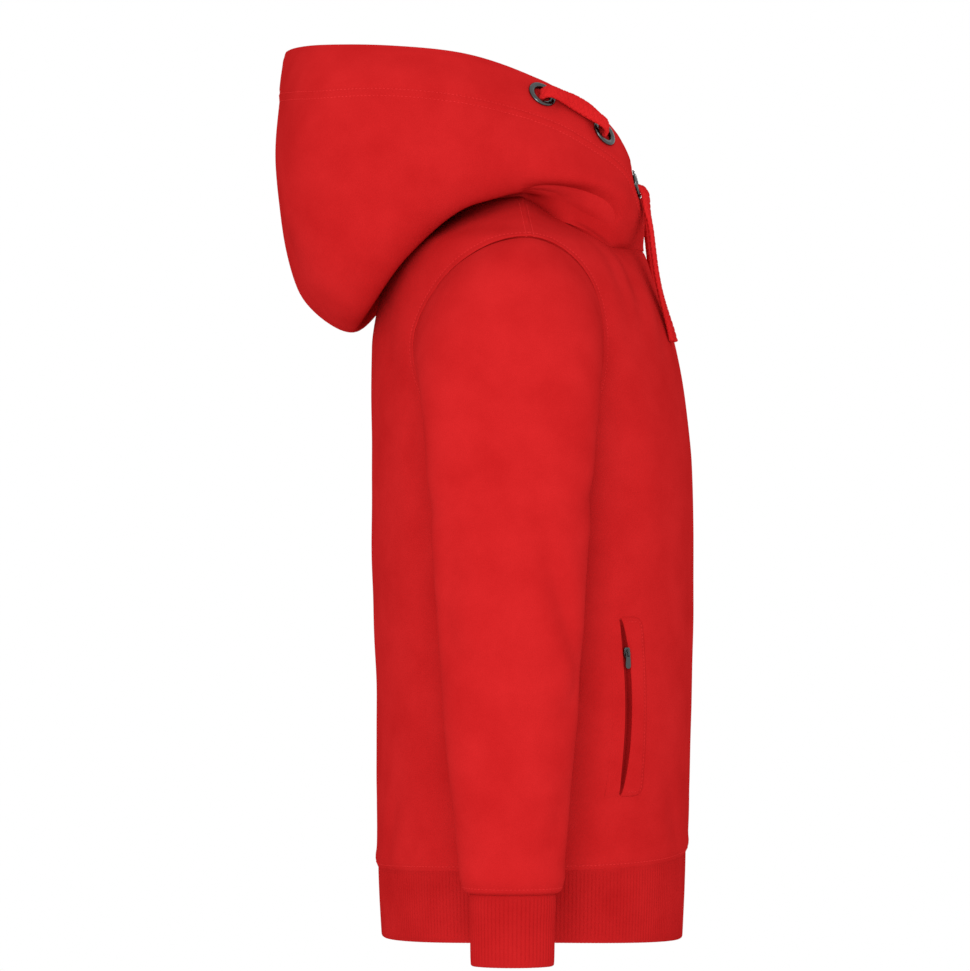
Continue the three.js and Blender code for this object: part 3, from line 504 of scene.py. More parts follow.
# Looks of the seams: how far the cloth dips at the seam, the ridge of turned-in edges beside it, and the
# shallow furrow that its row of stitches presses in
SEAM_LOOKS = {
    name: dict(zip(("dip", "ridge", "ridge_at", "ridge_wide", "row_at", "furrow"), values))
    for name, values in {
        "armhole": (0.0, 0.9, 1.2, 1.5, 5.2, 0.30),
        "armhole_sleeve": (0.5, 0.6, 9.0, 5.5, 99.0, 0.0),
        "shoulder": (0.0, 0.45, 0.0, 1.6, 2.7, 0.45),
        "neck": (0.8, 0.3, 7.0, 4.0, 99.0, 0.0),
        "hem": (1.2, 0.9, 7.5, 4.5, 3.2, 0.35),
        "side": (0.6, 0.25, 4.5, 2.5, 99.0, 0.0),
        "cuff": (0.0, 0.5, 10.0, 5.0, 4.5, 0.35),
        "hood_middle": (0.6, 0.4, 1.8, 1.4, 3.4, 0.35),
    }.items()
}


def seam_relief(distance, name):
    look = SEAM_LOOKS[name]
    ridge = look["ridge"] * np.exp(-(((distance - look["ridge_at"]) / look["ridge_wide"]) ** 2))
    furrow = look["furrow"] * np.exp(-(((distance - look["row_at"]) / 0.9) ** 2))
    return ridge - furrow - look["dip"] * np.exp(-((distance / 1.6) ** 2))


def line_through(points, spacing=2.0):
    """Close points on a smooth line through a few"""
    points = np.asarray(points, float)
    length = np.linalg.norm(np.diff(points, axis=0), axis=1).sum()
    return spline(points, np.linspace(0, 1, max(3, int(length / spacing))))


def crease(net, points, depth, width, lip=0.4):
    """A soft trough along a line, deepest in its middle, with a lip on both sides"""
    distance, along = nearest_on(net, line_through(points))
    strength = np.sin(math.pi * np.clip(along, 0.02, 0.98)) ** 0.7
    far = distance / width
    return depth * strength * (lip * np.exp(-((far - 2.1) ** 2)) - np.exp(-(far**2)))


def unevenness(net, seed, size, shortest=38.0, longest=120.0, waves=14):
    """Gentle rise and fall of soft cloth, the same on each run"""
    rng = np.random.default_rng(seed)
    total = np.zeros(net.shape[:-1])
    for _ in range(waves):
        way = unit(rng.normal(size=3))
        length = rng.uniform(shortest, longest)
        total += np.sin(net @ way * 2 * math.pi / length + rng.uniform(0, 2 * math.pi)) * length / longest
    return size * total / math.sqrt(waves)


# Materials


def new_material(name):
    material = bpy.data.materials.new(name)
    material.use_nodes = True
    tree = material.node_tree
    return material, tree, tree.nodes["Principled BSDF"]


def node(tree, kind, **values):
    made = tree.nodes.new(kind)
    for key, value in values.items():
        if key in made.inputs:
            made.inputs[key].default_value = value
        else:
            setattr(made, key, value)
    return made


def wire(tree, *joins):
    """Joins given as (node, its output, the next node, its input)"""
    for start, output, end, entry in joins:
        tree.links.new(start.outputs[output], end.inputs[entry])


def cloth_material(name, dark, light, wale, course, relief, sheen, roughness=0.9):
    """Knitted cloth: fine loops along the grain, a fuzzy nap and slight unevenness of tone"""
    material, tree, surface = new_material(name)
    grain = node(tree, "ShaderNodeUVMap", uv_map="Grain")
    place = node(tree, "ShaderNodeTexCoord")
    loops = node(tree, "ShaderNodeMapping")
    loops.inputs["Scale"].default_value = (1 / wale, 1 / course, 1)
    stitches = node(tree, "ShaderNodeTexVoronoi", Scale=1.0, Randomness=0.25)
    nap = node(tree, "ShaderNodeTexNoise", Scale=900.0, Detail=3.0, Roughness=0.65)
    broad = node(tree, "ShaderNodeTexNoise", Scale=26.0, Detail=4.0, Roughness=0.55)
    tone = node(tree, "ShaderNodeMath", operation="MULTIPLY_ADD")
    tone.inputs[1].default_value = 0.35
    ramp = node(tree, "ShaderNodeValToRGB")
    ramp.color_ramp.elements[0].position = 0.46
    ramp.color_ramp.elements[0].color = (*dark, 1)
    ramp.color_ramp.elements[1].position = 0.88
    ramp.color_ramp.elements[1].color = (*light, 1)
    fuzz = node(tree, "ShaderNodeBump", Strength=0.35, Distance=0.00035)
    knit = node(tree, "ShaderNodeBump", Strength=relief, Distance=0.0004, invert=True)
    wire(
        tree, (grain, "UV", loops, "Vector"), (loops, "Vector", stitches, "Vector"),
        (place, "Object", nap, "Vector"), (place, "Object", broad, "Vector"),
        (nap, "Fac", tone, 0), (broad, "Fac", tone, 2),
        (tone, "Value", ramp, "Fac"), (ramp, "Color", surface, "Base Color"),
        (nap, "Fac", fuzz, "Height"), (stitches, "Distance", knit, "Height"),
        (fuzz, "Normal", knit, "Normal"), (knit, "Normal", surface, "Normal"),
    )
    surface.inputs["Roughness"].default_value = roughness
    surface.inputs["Specular IOR Level"].default_value = 0.0
    surface.inputs["Sheen Weight"].default_value = sheen
    surface.inputs["Sheen Roughness"].default_value = 0.5
    surface.inputs["Sheen Tint"].default_value = (0.7, 0.10, 0.10, 1)
    return material


def metal_material(name, colour, roughness):
    """Polished dark plating with faint wear"""
    material, tree, surface = new_material(name)
    place = node(tree, "ShaderNodeTexCoord")
    wear = node(tree, "ShaderNodeTexNoise", Scale=700.0, Detail=4.0)
    spread = node(tree, "ShaderNodeMapRange")
    spread.inputs["To Min"].default_value = roughness - 0.06
    spread.inputs["To Max"].default_value = roughness + 0.12
    cast = node(tree, "ShaderNodeTexNoise", Scale=420.0, Detail=1.0)
    uneven = node(tree, "ShaderNodeBump", Strength=0.55, Distance=0.0005)
    wire(
        tree, (place, "Object", wear, "Vector"), (wear, "Fac", spread, "Value"),
        (spread, "Result", surface, "Roughness"), (place, "Object", cast, "Vector"),
        (cast, "Fac", uneven, "Height"), (uneven, "Normal", surface, "Normal"),
    )
    surface.inputs["Base Color"].default_value = (*colour, 1)
    surface.inputs["Metallic"].default_value = 1.0
    return material


# Each cloth: its darkest and lightest tone, the width of a wale and height of a course, relief and sheen
FLEECE = cloth_material(
    "fleece_jersey", (0.400, 0.0098, 0.0104), (0.460, 0.0136, 0.0143), 0.0011, 0.0014, 0.22, 0.01
)
BRUSHED = cloth_material(
    "brushed_inside", (0.415, 0.0105, 0.0112), (0.510, 0.0165, 0.0176), 0.0030, 0.0024, 0.10, 0.05
)
RIB = cloth_material(
    "rib_knit", (0.360, 0.0086, 0.0092), (0.420, 0.0120, 0.0127), 0.0013, 0.0016, 0.25, 0.01
)
BRAID = cloth_material(
    "braided_cord", (0.450, 0.0100, 0.0108), (0.560, 0.0160, 0.0175), 0.0011, 0.0022, 0.30, 0.02
)
THREAD = cloth_material(
    "sewing_thread", (0.520, 0.0180, 0.0190), (0.640, 0.0300, 0.0315), 0.0004, 0.0008, 0.2, 0.02, 0.7
)
# The zip's tape and coil are darker than the red cloth: painted shade standing in for the shadow inside the
# pocket slit
ZIP_TAPE_PAINTED_SHADE = cloth_material(
    "zip_tape", (0.170, 0.0035, 0.0038), (0.230, 0.0055, 0.0060), 0.0008, 0.0010, 0.3, 0.02
)
METAL = metal_material("gunmetal", (0.075, 0.082, 0.083), 0.20)


# Repeats made with geometry nodes


def stitch_tree():
    """Thread stitches on points that carry the way along the seam and the way out of the cloth"""
    tree = bpy.data.node_groups.new("thread_stitches", "GeometryNodeTree")
    face = tree.interface
    face.new_socket("Places", in_out="INPUT", socket_type="NodeSocketGeometry")
    sizes = {
        name: face.new_socket(name, in_out="INPUT", socket_type="NodeSocketFloat").identifier
        for name in ("Stitch Length", "Stitch Width", "Stitch Height")
    }
    sizes["Thread"] = face.new_socket("Thread", in_out="INPUT", socket_type="NodeSocketMaterial").identifier
    face.new_socket("Stitches", in_out="OUTPUT", socket_type="NodeSocketGeometry")
    given = node(tree, "NodeGroupInput")
    result = node(tree, "NodeGroupOutput")
    bead = node(tree, "GeometryNodeMeshUVSphere", Segments=6, Rings=4, Radius=0.5)
    shape = node(tree, "ShaderNodeCombineXYZ")
    sized = node(tree, "GeometryNodeTransform")
    along = node(tree, "GeometryNodeInputNamedAttribute", data_type="FLOAT_VECTOR", Name="along")
    out = node(tree, "GeometryNodeInputNamedAttribute", data_type="FLOAT_VECTOR", Name="out")
    turn = node(tree, "FunctionNodeAlignRotationToVector", axis="X")
    lean = node(tree, "FunctionNodeAlignRotationToVector", axis="Z", pivot_axis="X")
    place = node(tree, "GeometryNodeInstanceOnPoints")
    real = node(tree, "GeometryNodeRealizeInstances")
    smooth = node(tree, "GeometryNodeSetShadeSmooth")
    paint = node(tree, "GeometryNodeSetMaterial")
    wire(
        tree, (given, "Stitch Length", shape, "X"), (given, "Stitch Width", shape, "Y"),
        (given, "Stitch Height", shape, "Z"), (bead, "Mesh", sized, "Geometry"),
        (shape, "Vector", sized, "Scale"), (along, "Attribute", turn, "Vector"),
        (turn, "Rotation", lean, "Rotation"), (out, "Attribute", lean, "Vector"),
        (given, "Places", place, "Points"), (sized, "Geometry", place, "Instance"),
        (lean, "Rotation", place, "Rotation"), (place, "Instances", real, "Geometry"),
        (real, "Geometry", smooth, "Geometry"), (smooth, "Geometry", paint, "Geometry"),
        (given, "Thread", paint, "Material"), (paint, "Geometry", result, "Stitches"),
    )
    return tree, sizes


STITCH_TREE, STITCH_SOCKETS = stitch_tree()


def sew(name, rows, length=2.3, width=0.62, height=0.5, material=None):
    """One piece of thread for rows of stitches, each row given by its places, ways along and ways out"""
    places, along, out = (np.concatenate([row[k] for row in rows]) for k in range(3))
    mesh = bpy.data.meshes.new(name)
    mesh.from_pydata((places * MM).tolist(), [], [])
    for label, vectors in (("along", along), ("out", out)):
        mesh.attributes.new(label, "FLOAT_VECTOR", "POINT").data.foreach_set("vector", unit(vectors).ravel())
    points = in_scene(name + "_places", mesh)
    modifier = points.modifiers.new("stitches", "NODES")
    modifier.node_group = STITCH_TREE
    for label, size in (("Stitch Length", length), ("Stitch Width", width), ("Stitch Height", height)):
        modifier[STITCH_SOCKETS[label]] = size * MM
    modifier[STITCH_SOCKETS["Thread"]] = material or THREAD
    return piece(name, finished(points), None)


def stitch_row(line, out, pitch=3.0):
    """Even places along a line of surface points, with the ways along and out"""
    line, out = np.asarray(line, float), np.asarray(out, float)
    places = lengths(line)
    wanted = np.arange(pitch / 2, places[-1], pitch)
    at, way = read_at(wanted, places, line), unit(read_at(wanted, places, out))
    return at, unit(np.gradient(at, axis=0)), way


# Camera, light and floor

CAMERA_PLACE = (-3.5, 0.0275, -0.215)
LIGHT_AIM = (0, 0, -0.24)
LIGHT_SIZE = 1.2
FLOOR_HEIGHT = -0.86
FLOOR_RADIUS = 2.4

camera_data = bpy.data.cameras.new("camera")
camera_data.sensor_width = 36.0
camera_data.lens = 170.7
camera_data.clip_end = 50
camera = in_scene("camera", camera_data)
camera.location = CAMERA_PLACE
camera.rotation_euler = Vector((1, 0, 0)).to_track_quat("-Z", "Y").to_euler()
bpy.context.scene.camera = camera


def soft_light(name, place, power):
    data = bpy.data.lights.new(name, "AREA")
    data.shape = "RECTANGLE"
    data.size = data.size_y = LIGHT_SIZE
    data.energy = power
    lamp = in_scene(name, data)
    lamp.location = place
    lamp.rotation_euler = (Vector(LIGHT_AIM) - Vector(place)).to_track_quat("-Z", "Y").to_euler()


soft_light("key_light", (-2.7, 0.2, 0.3), 36)
soft_light("far_light", (2.7, 0.0, 0.3), 30)

world = bpy.data.worlds.new("studio")
world.use_nodes = True
world.node_tree.nodes["Background"].inputs["Color"].default_value = (1, 1, 1, 1)
world.node_tree.nodes["Background"].inputs["Strength"].default_value = 1.0
bpy.context.scene.world = world
bpy.context.scene.view_settings.view_transform = "Standard"

bpy.ops.mesh.primitive_circle_add(
    vertices=96, radius=FLOOR_RADIUS, fill_type="NGON", location=(0, 0, FLOOR_HEIGHT)
)
floor = bpy.context.object
floor.name = "floor"
floor_material, _, floor_surface = new_material("pale_floor")
floor_surface.inputs["Base Color"].default_value = (0.86, 0.86, 0.86, 1)
floor_surface.inputs["Roughness"].default_value = 0.8
floor.data.materials.append(floor_material)


# Hood surface and eyelets

HOOD_LOOPS = [np.concatenate([line, line[1:-1][::-1] * SIDES["right"]]) for line in HOOD_LINES]


def hood_points(turns, lines):
    """Net of the hood's outer surface: turns from centre front (0) to back (1), lines from seam to rim"""
    turns, lines = np.atleast_1d(np.asarray(turns, float)), np.atleast_1d(np.asarray(lines, float))
    angle = turns * math.pi
    seam = body_point(angle, neck_height(angle))
    columns = np.stack([seam] + [spline(loop, (turns / 2) % 1, closed=True) for loop in HOOD_LOOPS])
    return spline(columns, lines / HOOD_TOP)


def hood_normals(turns, lines, small=0.01):
    turns, lines = np.atleast_1d(np.asarray(turns, float)), np.atleast_1d(np.asarray(lines, float))
    across = hood_points(turns + small, lines) - hood_points(turns - small, lines)
    up = hood_points(turns, np.minimum(HOOD_TOP, lines + small)) - hood_points(
        turns, np.maximum(0, lines - small)
    )
    return unit(np.cross(across, up))


def below_rim(net):
    """Distance of each point of a hood's net from the rim, along its column"""
    steps = np.linalg.norm(np.diff(net, axis=0), axis=-1)
    return np.concatenate([np.cumsum(steps[::-1], 0)[::-1], np.zeros((1, net.shape[1]))])


def eyelet_frame(turn):
    """Centre of an eyelet on the casing, the way out, and the way along the rim towards the front"""
    lines = np.arange(HOOD_TOP, HOOD_TOP - 3, -0.01)
    column = hood_points(turn, lines)[:, 0]
    line = lines[np.argmax(np.linalg.norm(column - column[0], axis=1) >= EYELET["from_rim"])]
    centre = hood_points(turn, line)[0, 0]
    out = hood_normals(turn, line)[0, 0]
    along = hood_points(turn - 0.02, line)[0, 0] - centre
    return {"centre": centre, "out": out, "along": unit(along - out * (along @ out))}


EYELETS = [eyelet_frame(turn) for turn in EYELET_PLACES]


# Cords


def cord_leaving(place, towards, steps):
    """Points that leave an eyelet's hole and bend over towards a direction"""
    lean = unit(towards - place["out"] * (towards @ place["out"]))
    return np.array([place["centre"] + place["out"] * high + lean * far for high, far in steps])


def braid_net(points, wide, rings_per_mm=1.9, around=44, strand=3.5, raise_by=0.7):
    """A flat braided cord along a line of points: strands cross over and under on a rounded flat section"""
    length = np.linalg.norm(np.diff(points, axis=0), axis=1).sum()
    count = int(length * rings_per_mm)
    t = np.linspace(0, 1, count)
    centre = spline(points, t)
    places = lengths(centre)
    even = np.linspace(0, places[-1], count)
    centre = read_at(even, places, centre)
    side = read_at(t, np.linspace(0, 1, len(wide)), wide)
    along = unit(np.gradient(centre, axis=0))
    side = unit(side - along * np.sum(side * along, 1, keepdims=True))
    flat = np.cross(along, side)
    angle = np.linspace(0, 2 * math.pi, around, endpoint=False)
    girth = 2 * math.pi * math.sqrt((CORD["half_width"] ** 2 + CORD["half_thick"] ** 2) / 2)
    across = np.round(girth / strand / 2) * 2
    u = angle / (2 * math.pi) * across
    v = even[:, None] / strand
    left, right = u[None] / 2 + v / 1.3, u[None] / 2 - v / 1.3
    over = (np.floor(left) + np.floor(right)) % 2 == 0
    strands = np.where(over, np.abs(np.sin(math.pi * left)), np.abs(np.sin(math.pi * right)))
    relief = raise_by * (strands**0.7 - 0.75)
    cos, sin = np.cos(angle), np.sin(angle)
    x = np.sign(cos) * np.abs(cos) ** 0.9 * CORD["half_width"]
    y = np.sign(sin) * np.abs(sin) ** 0.75 * CORD["half_thick"]
    push = unit(np.stack([x / CORD["half_width"] ** 2, y / CORD["half_thick"] ** 2], -1))
    net = centre[:, None] + side[:, None] * (x + relief * push[:, 0])[..., None]
    net = net + flat[:, None] * (y + relief * push[:, 1])[..., None]
    return net, centre, even


def cord_mesh(name, net, centre, even):
    """The cord's skin with rounded ends"""
    ends = []
    for end, before in ((0, 1), (-1, -2)):
        middle, way = centre[end], unit(centre[end] - centre[before])
        ends.append([middle + (net[end] - middle) * share + way * rise for share, rise in CORD_END_ROUNDING])
    columns = net.shape[1]
    net = np.concatenate([np.array(ends[0])[::-1], net, np.array(ends[1])])
    along = np.concatenate([[even[0]] * 3, even, [even[-1]] * 3]) * MM
    count = len(net)
    r, c, up, side = cells_of(count, columns)
    around = 2 * (CORD["half_width"] + CORD["half_thick"]) * 1.6 * MM / columns
    lay = [np.stack([at * around, along[row]], 1) for at, row in ((c, r), (c + 1, r), (c + 1, up), (c, up))]
    points = np.concatenate([net.reshape(-1, 3), [net[0].mean(0)], [net[-1].mean(0)]])
    tips = []
    for ring, tip in ((0, count * columns), (count - 1, count * columns + 1)):
        for k in range(columns):
            pair = [ring * columns + k, ring * columns + (k + 1) % columns]
            tips.append([tip, *(pair[::-1] if ring == 0 else pair)])
    all_faces = corners_of(r, c, up, side, columns).tolist() + tips
    cloth = np.concatenate([np.stack(lay, 1).reshape(-1, 2), np.zeros((3 * len(tips), 2))])
    mesh = bpy.data.meshes.new(name)
    mesh.from_pydata((points * MM).tolist(), [], all_faces)
    mesh.uv_layers.new(name="Grain").data.foreach_set("uv", cloth.astype(np.float32).ravel())
    mesh.polygons.foreach_set("use_smooth", np.ones(len(mesh.polygons), bool))
    turn_outwards(mesh)
    return mesh


def turn_outwards(mesh):
    """Turns a closed mesh's faces round where they point inwards"""
    co = np.zeros(len(mesh.vertices) * 3)
    mesh.vertices.foreach_get("co", co)
    co = co.reshape(-1, 3)
    volume = 0.0
    for face in mesh.polygons:
        a, *rest = [co[i] for i in face.vertices]
        for b, c in zip(rest, rest[1:]):
            volume += float(a @ np.cross(b, c))
    if volume < 0:
        mesh.flip_normals()


def cord_end_line():
    """Points along a free end, and the way across its flat side"""
    start = cord_leaving(EYELETS[2], np.array([0, 0, -1.0]), CORD_EXITS["end"])
    points = np.concatenate([start, np.array(CORD_END_ROUTE, float)])
    turn = np.radians(np.interp(np.linspace(0, 1, len(points)), *CORD_END_TURN))
    return points, np.stack([np.cos(turn), np.sin(turn), 0 * turn], -1)


def lace_line():
    """Points along the stretch between two eyelets, and the way across its flat side"""
    high, low = EYELETS[0], EYELETS[1]
    between = low["centre"] - high["centre"]
    start = cord_leaving(high, between, CORD_EXITS["lace"])
    end = cord_leaving(low, -between, CORD_EXITS["lace"])[::-1]
    middle = [
        mix(start[-1], end[0], t) + unit(mix(high["out"], low["out"], t)) * CORD["lift"] * 4 * t * (1 - t) / 3
        for t in (0.2, 0.4, 0.6, 0.8)
    ]
    points = np.concatenate([start, middle, end])
    share = np.linspace(0, 1, len(points))[:, None]
    turned = CORD["turned"] * smooth_step((0.5 - np.abs(share - 0.5) - 0.2) / 0.25)
    face = mix(mix(high["out"], low["out"], share), np.array([1.0, 0, 0]), turned)
    return points, unit(np.cross(face, between))


def cord(node_name, line, wide):
    """A length of cord along a line, the middle line that it follows and the length along that"""
    name = f"{node_name}_braid"
    net, centre, even = braid_net(line, wide)
    mesh = cord_mesh(name, net, centre, even)
    return piece(name, mesh, BRAID, nodes=[node_name]), centre, even


for side, flip in SIDES.items():
    line, wide = cord_end_line()
    hanging, centre, even = cord(f"cord_end_{side}", line * flip, wide * flip)
    line, wide = lace_line()
    cord(f"cord_lace_{side}", line * flip, wide * flip)


def eyelet_mesh(name, place, sides=72):
    """A pressed ring: a rolled flange on the cloth and a short barrel down into the hole"""
    foot = -EYELET["seat"] + 0.3
    outer, bore, rise = EYELET["outer"], EYELET["bore"], EYELET["rise"]
    profile = [
        (bore, foot - 1.3), (bore + 0.45, foot - 1.3), (bore + 0.5, foot), (outer - 0.15, foot),
        (outer, foot + 0.25), (outer - 0.12, foot + 0.62 * rise), (outer - 0.75, foot + 0.93 * rise),
        (outer - 1.7, foot + 1.05 * rise), (bore + 1.6, foot + 1.0 * rise), (bore + 0.7, foot + 0.82 * rise),
        (bore + 0.15, foot + 0.5 * rise), (bore, foot + 0.1 * rise),
    ]
    across = place["along"]
    up = np.cross(place["out"], across)
    angle = np.linspace(0, 2 * math.pi, sides, endpoint=False)
    ring = np.cos(angle)[:, None] * across + np.sin(angle)[:, None] * up
    net = np.stack([place["centre"] + ring * radius + place["out"] * high for radius, high in profile])
    rows, columns = net.shape[:2]
    faces = corners_of(*cells_of(rows, columns, True), columns)
    mesh = mesh_from(name, net.reshape(-1, 3), faces, sharp=60)
    turn_outwards(mesh)
    return mesh


for side, flip in SIDES.items():
    for number, place in enumerate(EYELETS, 1):
        turned = {key: value * flip for key, value in place.items()}
        name = f"eyelet_{side}_{number}_ring"
        piece(name, eyelet_mesh(name, turned), METAL, nodes=[f"eyelet_{side}_{number}"])


# Front and back panels


def side_edge(away, row):
    """Angle and height along side seam and armhole; away is -1 on the front and 1 on the back"""
    row = np.asarray(row, float)
    t = np.clip(row / SIDE_SPAN, 0, 1)
    foot = height_round(HEM_SEAM, angle_at_depth(SIDE_SEAM_AT_HEM, HEM_SEAM["side"])) + SEAM_GAP / 2
    hole = loop_through(ARMHOLE_TURNS, 0.5 - away * np.clip((row - SIDE_SPAN) / ARMHOLE_SPAN, 0, 1) / 2)
    low = row <= SIDE_SPAN
    z = np.where(low, mix(foot, UNDERARM["height"], t), hole[..., 1])
    y = np.where(low, mix(SIDE_SEAM_AT_HEM, UNDERARM["depth"], t) + away * SEAM_GAP / 2, hole[..., 0])
    return angle_at_depth(y, z), z


def top_edge(away, column):
    """Angle and height along shoulder and neck"""
    column = np.asarray(column, float)
    z = mix(ARMHOLE_TOP, 0, np.clip(column / SHOULDER_SPAN, 0, 1))
    ridge = read_table(BODY_SECTIONS, "z", "centre", z)
    shoulder = angle_at_depth(ridge + away * SEAM_GAP / 2, z)
    t = np.clip((column - SHOULDER_SPAN) / NECK_SPAN, 0, 1)
    neck = mix(math.pi / 2, 0 if away < 0 else math.pi, t)
    on_shoulder = column <= SHOULDER_SPAN
    return np.where(on_shoulder, shoulder, neck), np.where(on_shoulder, z, neck_height(neck))


def centre_share(away, row):
    rows = SIDE_SPAN + ARMHOLE_SPAN
    low, here, high = (side_edge(away, place)[1] for place in (0.0, row, float(rows)))
    return mix(row / rows, (here - low) / (high - low), 0.7)


def half_panel(away, rows, columns):
    """Angles and heights of half a panel's net on the wearer's left, between its four edges"""
    row_span, column_span = SIDE_SPAN + ARMHOLE_SPAN, SHOULDER_SPAN + NECK_SPAN
    middle = 0 if away < 0 else math.pi
    v, u = rows / row_span, columns / column_span
    hem_angle = mix(side_edge(away, 0.0)[0], middle, u)
    hem = (hem_angle, height_round(HEM_SEAM, hem_angle) + SEAM_GAP / 2)
    top = top_edge(away, columns)
    side = side_edge(away, rows)
    centre = (np.full(len(rows), float(middle)), mix(hem[1][-1], top[1][-1], centre_share(away, rows)))
    hem_p, top_p, side_p, centre_p = (body_point(*edge) for edge in (hem, top, side, centre))
    v, u = v[:, None, None], u[None, :, None]
    net = (1 - v) * hem_p[None] + v * top_p[None] + (1 - u) * side_p[:, None] + u * centre_p[:, None]
    net -= (1 - u) * (1 - v) * hem_p[0] + u * (1 - v) * hem_p[-1] + (1 - u) * v * top_p[0] + u * v * top_p[-1]
    angle = np.arctan2(net[..., 0], read_table(BODY_SECTIONS, "z", "centre", net[..., 2]) - net[..., 1])
    z = net[..., 2]
    for place, edge in ((np.s_[0], hem), (np.s_[-1], top), (np.s_[:, 0], side), (np.s_[:, -1], centre)):
        angle[place], z[place] = edge
    return angle, z


def spaced(length, step, ends=(0.05, 0.12, 0.22)):
    """Even stations along a span, with a few close ones at both ends"""
    even = np.linspace(ends[-1] + step / 2, length - ends[-1] - step / 2, max(2, int(length / step)))
    return np.concatenate([[0], ends, even, length - np.array(ends[::-1]), [length]])


def seam_lines():
    """Lines of the seams on the wearer's left, as close points"""
    turn = np.linspace(0, 1, 500)
    armhole = body_point(*armhole_angle(turn))
    t = np.linspace(0, 1, 300)
    z = mix(ARMHOLE_TOP, 0, t)
    shoulder = body_point(angle_at_depth(read_table(BODY_SECTIONS, "z", "centre", z), z), z)
    angle = np.linspace(0, math.pi, 400)
    neck = body_point(angle, neck_height(angle))
    hem = body_point(angle, height_round(HEM_SEAM, angle))
    z = mix(HEM_SEAM["side"], UNDERARM["height"], t)
    side = body_point(angle_at_depth(mix(SIDE_SEAM_AT_HEM, UNDERARM["depth"], t), z), z)
    return {"armhole": armhole, "shoulder": shoulder, "neck": neck, "hem": hem, "side": side}


SEAMS = seam_lines()


def both_sides(line):
    return np.concatenate([line, line * SIDES["right"]])


BODY_CREASES = [
    ([(72, -78, -40), (92, -84, -72), (118, -82, -112)], 2.4, 9),
    ([(100, -52, -38), (112, -70, -70), (128, -76, -110)], 1.8, 8),
    ([(44, -98, -48), (60, -104, -82), (84, -106, -130)], 1.5, 10),
    ([(132, -62, -150), (140, -74, -200), (142, -78, -262)], 2.0, 12),
    ([(128, 88, -120), (140, 84, -190), (144, 78, -270)], 2.2, 12),
    ([(60, 98, -60), (92, 102, -110), (118, 98, -170)], 1.4, 14),
    ([(110, -98, -420), (98, -108, -455), (84, -114, -486)], 1.4, 9),
    ([(60, -120, -440), (52, -121, -465), (48, -121, -488)], 1.1, 8),
    ([(104, 92, -440), (92, 98, -470), (80, 102, -498)], 1.4, 9),
    ([(40, 108, -455), (34, 109, -478), (30, 109, -501)], 1.0, 8),
]


def panel(name, away):
    columns = np.concatenate([spaced(SHOULDER_SPAN, 0.2), SHOULDER_SPAN + spaced(NECK_SPAN, 0.24)[1:]])
    rows = np.concatenate(
        [spaced(SIDE_SPAN, 0.075, (0.02, 0.05, 0.09)), SIDE_SPAN + spaced(ARMHOLE_SPAN, 0.2)[1:]]
    )
    angle, z = half_panel(away, rows, columns)
    on_shoulder = columns <= SHOULDER_SPAN
    normal_angle = angle.copy()
    normal_angle[-1, on_shoulder] = math.pi / 2
    other = np.s_[:, :-1]
    full_angle = np.concatenate([-angle[other], angle[:, ::-1]], 1)
    full_z = np.concatenate([z[other], z[:, ::-1]], 1)
    out = body_normal(np.concatenate([-normal_angle[other], normal_angle[:, ::-1]], 1), full_z)
    net = body_point(full_angle, full_z)
    relief = unevenness(net, 11 + away, 0.45)
    for seam in ("armhole", "shoulder", "neck", "hem", "side"):
        relief += seam_relief(nearest_on(net, both_sides(SEAMS[seam]))[0], seam)
    for points, depth, width in BODY_CREASES:
        if (points[1][1] < 0) == (away < 0):
            for flip in SIDES.values():
                relief += crease(net, np.array(points, float) * flip, depth, width)
    calm = smooth_step(nearest_on(net, both_sides(SEAMS["neck"]))[0] / 12)
    relief *= mix(0.4, 1, calm)
    if away < 0:
        relief *= smooth_step((beyond_pocket(net) - 4) / 14)
    outer = net + out * relief[..., None]
    inner = net + out * (relief * 0.85 - BODY_CLOTH)[..., None]
    return shell(name, outer, inner, grain_of(net, False)), net


def beyond_pocket(net):
    """Distance of points of the front from the ground that the pocket's pieces lie on"""
    middle = (POCKET["opening"] + WELT["edge"]) / 2
    across = np.abs(net[..., 1] - middle) - (POCKET["opening"] - WELT["edge"]) / 2 - 6
    tall = np.abs(net[..., 2] - POCKET["middle"]) - (POCKET["top"] - POCKET["bottom"]) / 2 - 2
    return np.hypot(np.maximum(across, 0), np.maximum(tall, 0))


def cloth_piece(name, made, material, node):
    """A piece of the garment from a shell's mesh, in place of its part"""
    mesh, net = made
    thing = piece(name, mesh, material, nodes=[node])
    return thing


front = cloth_piece("front_panel", panel("front_panel", -1), (FLEECE, BRUSHED), "front")
back = cloth_piece("back_panel", panel("back_panel", 1), (FLEECE, BRUSHED), "back")


# Sleeves and cuffs


def sleeve_oval(ring, turn):
    angle = turn * 2 * math.pi
    out = np.array([SLEEVE_RINGS["out_x"][ring], 0, SLEEVE_RINGS["out_z"][ring]])
    inside = np.array([SLEEVE_RINGS["in_x"][ring], 0, SLEEVE_RINGS["in_z"][ring]])
    points = (out + inside) / 2 + np.cos(angle)[:, None] * (out - inside) / 2
    points[:, 1] = SLEEVE_RINGS["centre"][ring] + np.sin(angle) * SLEEVE_RINGS["width"][ring] / 2
    return points


def smooth_rows(net, wanted):
    """Rows at the wanted shares of a net's mean length, smooth through its own rows"""
    steps = np.linalg.norm(np.diff(net, axis=0), axis=-1).mean(1)
    at = np.concatenate([[0], np.cumsum(steps)])
    slope = np.gradient(net, at, axis=0)
    wanted = np.asarray(wanted) * at[-1]
    i = np.clip(np.searchsorted(at, wanted) - 1, 0, len(at) - 2)
    span = at[i + 1] - at[i]
    t = (wanted - at[i]) / span
    return hermite(t[:, None, None], span[:, None, None], net[i], net[i + 1], slope[i], slope[i + 1])


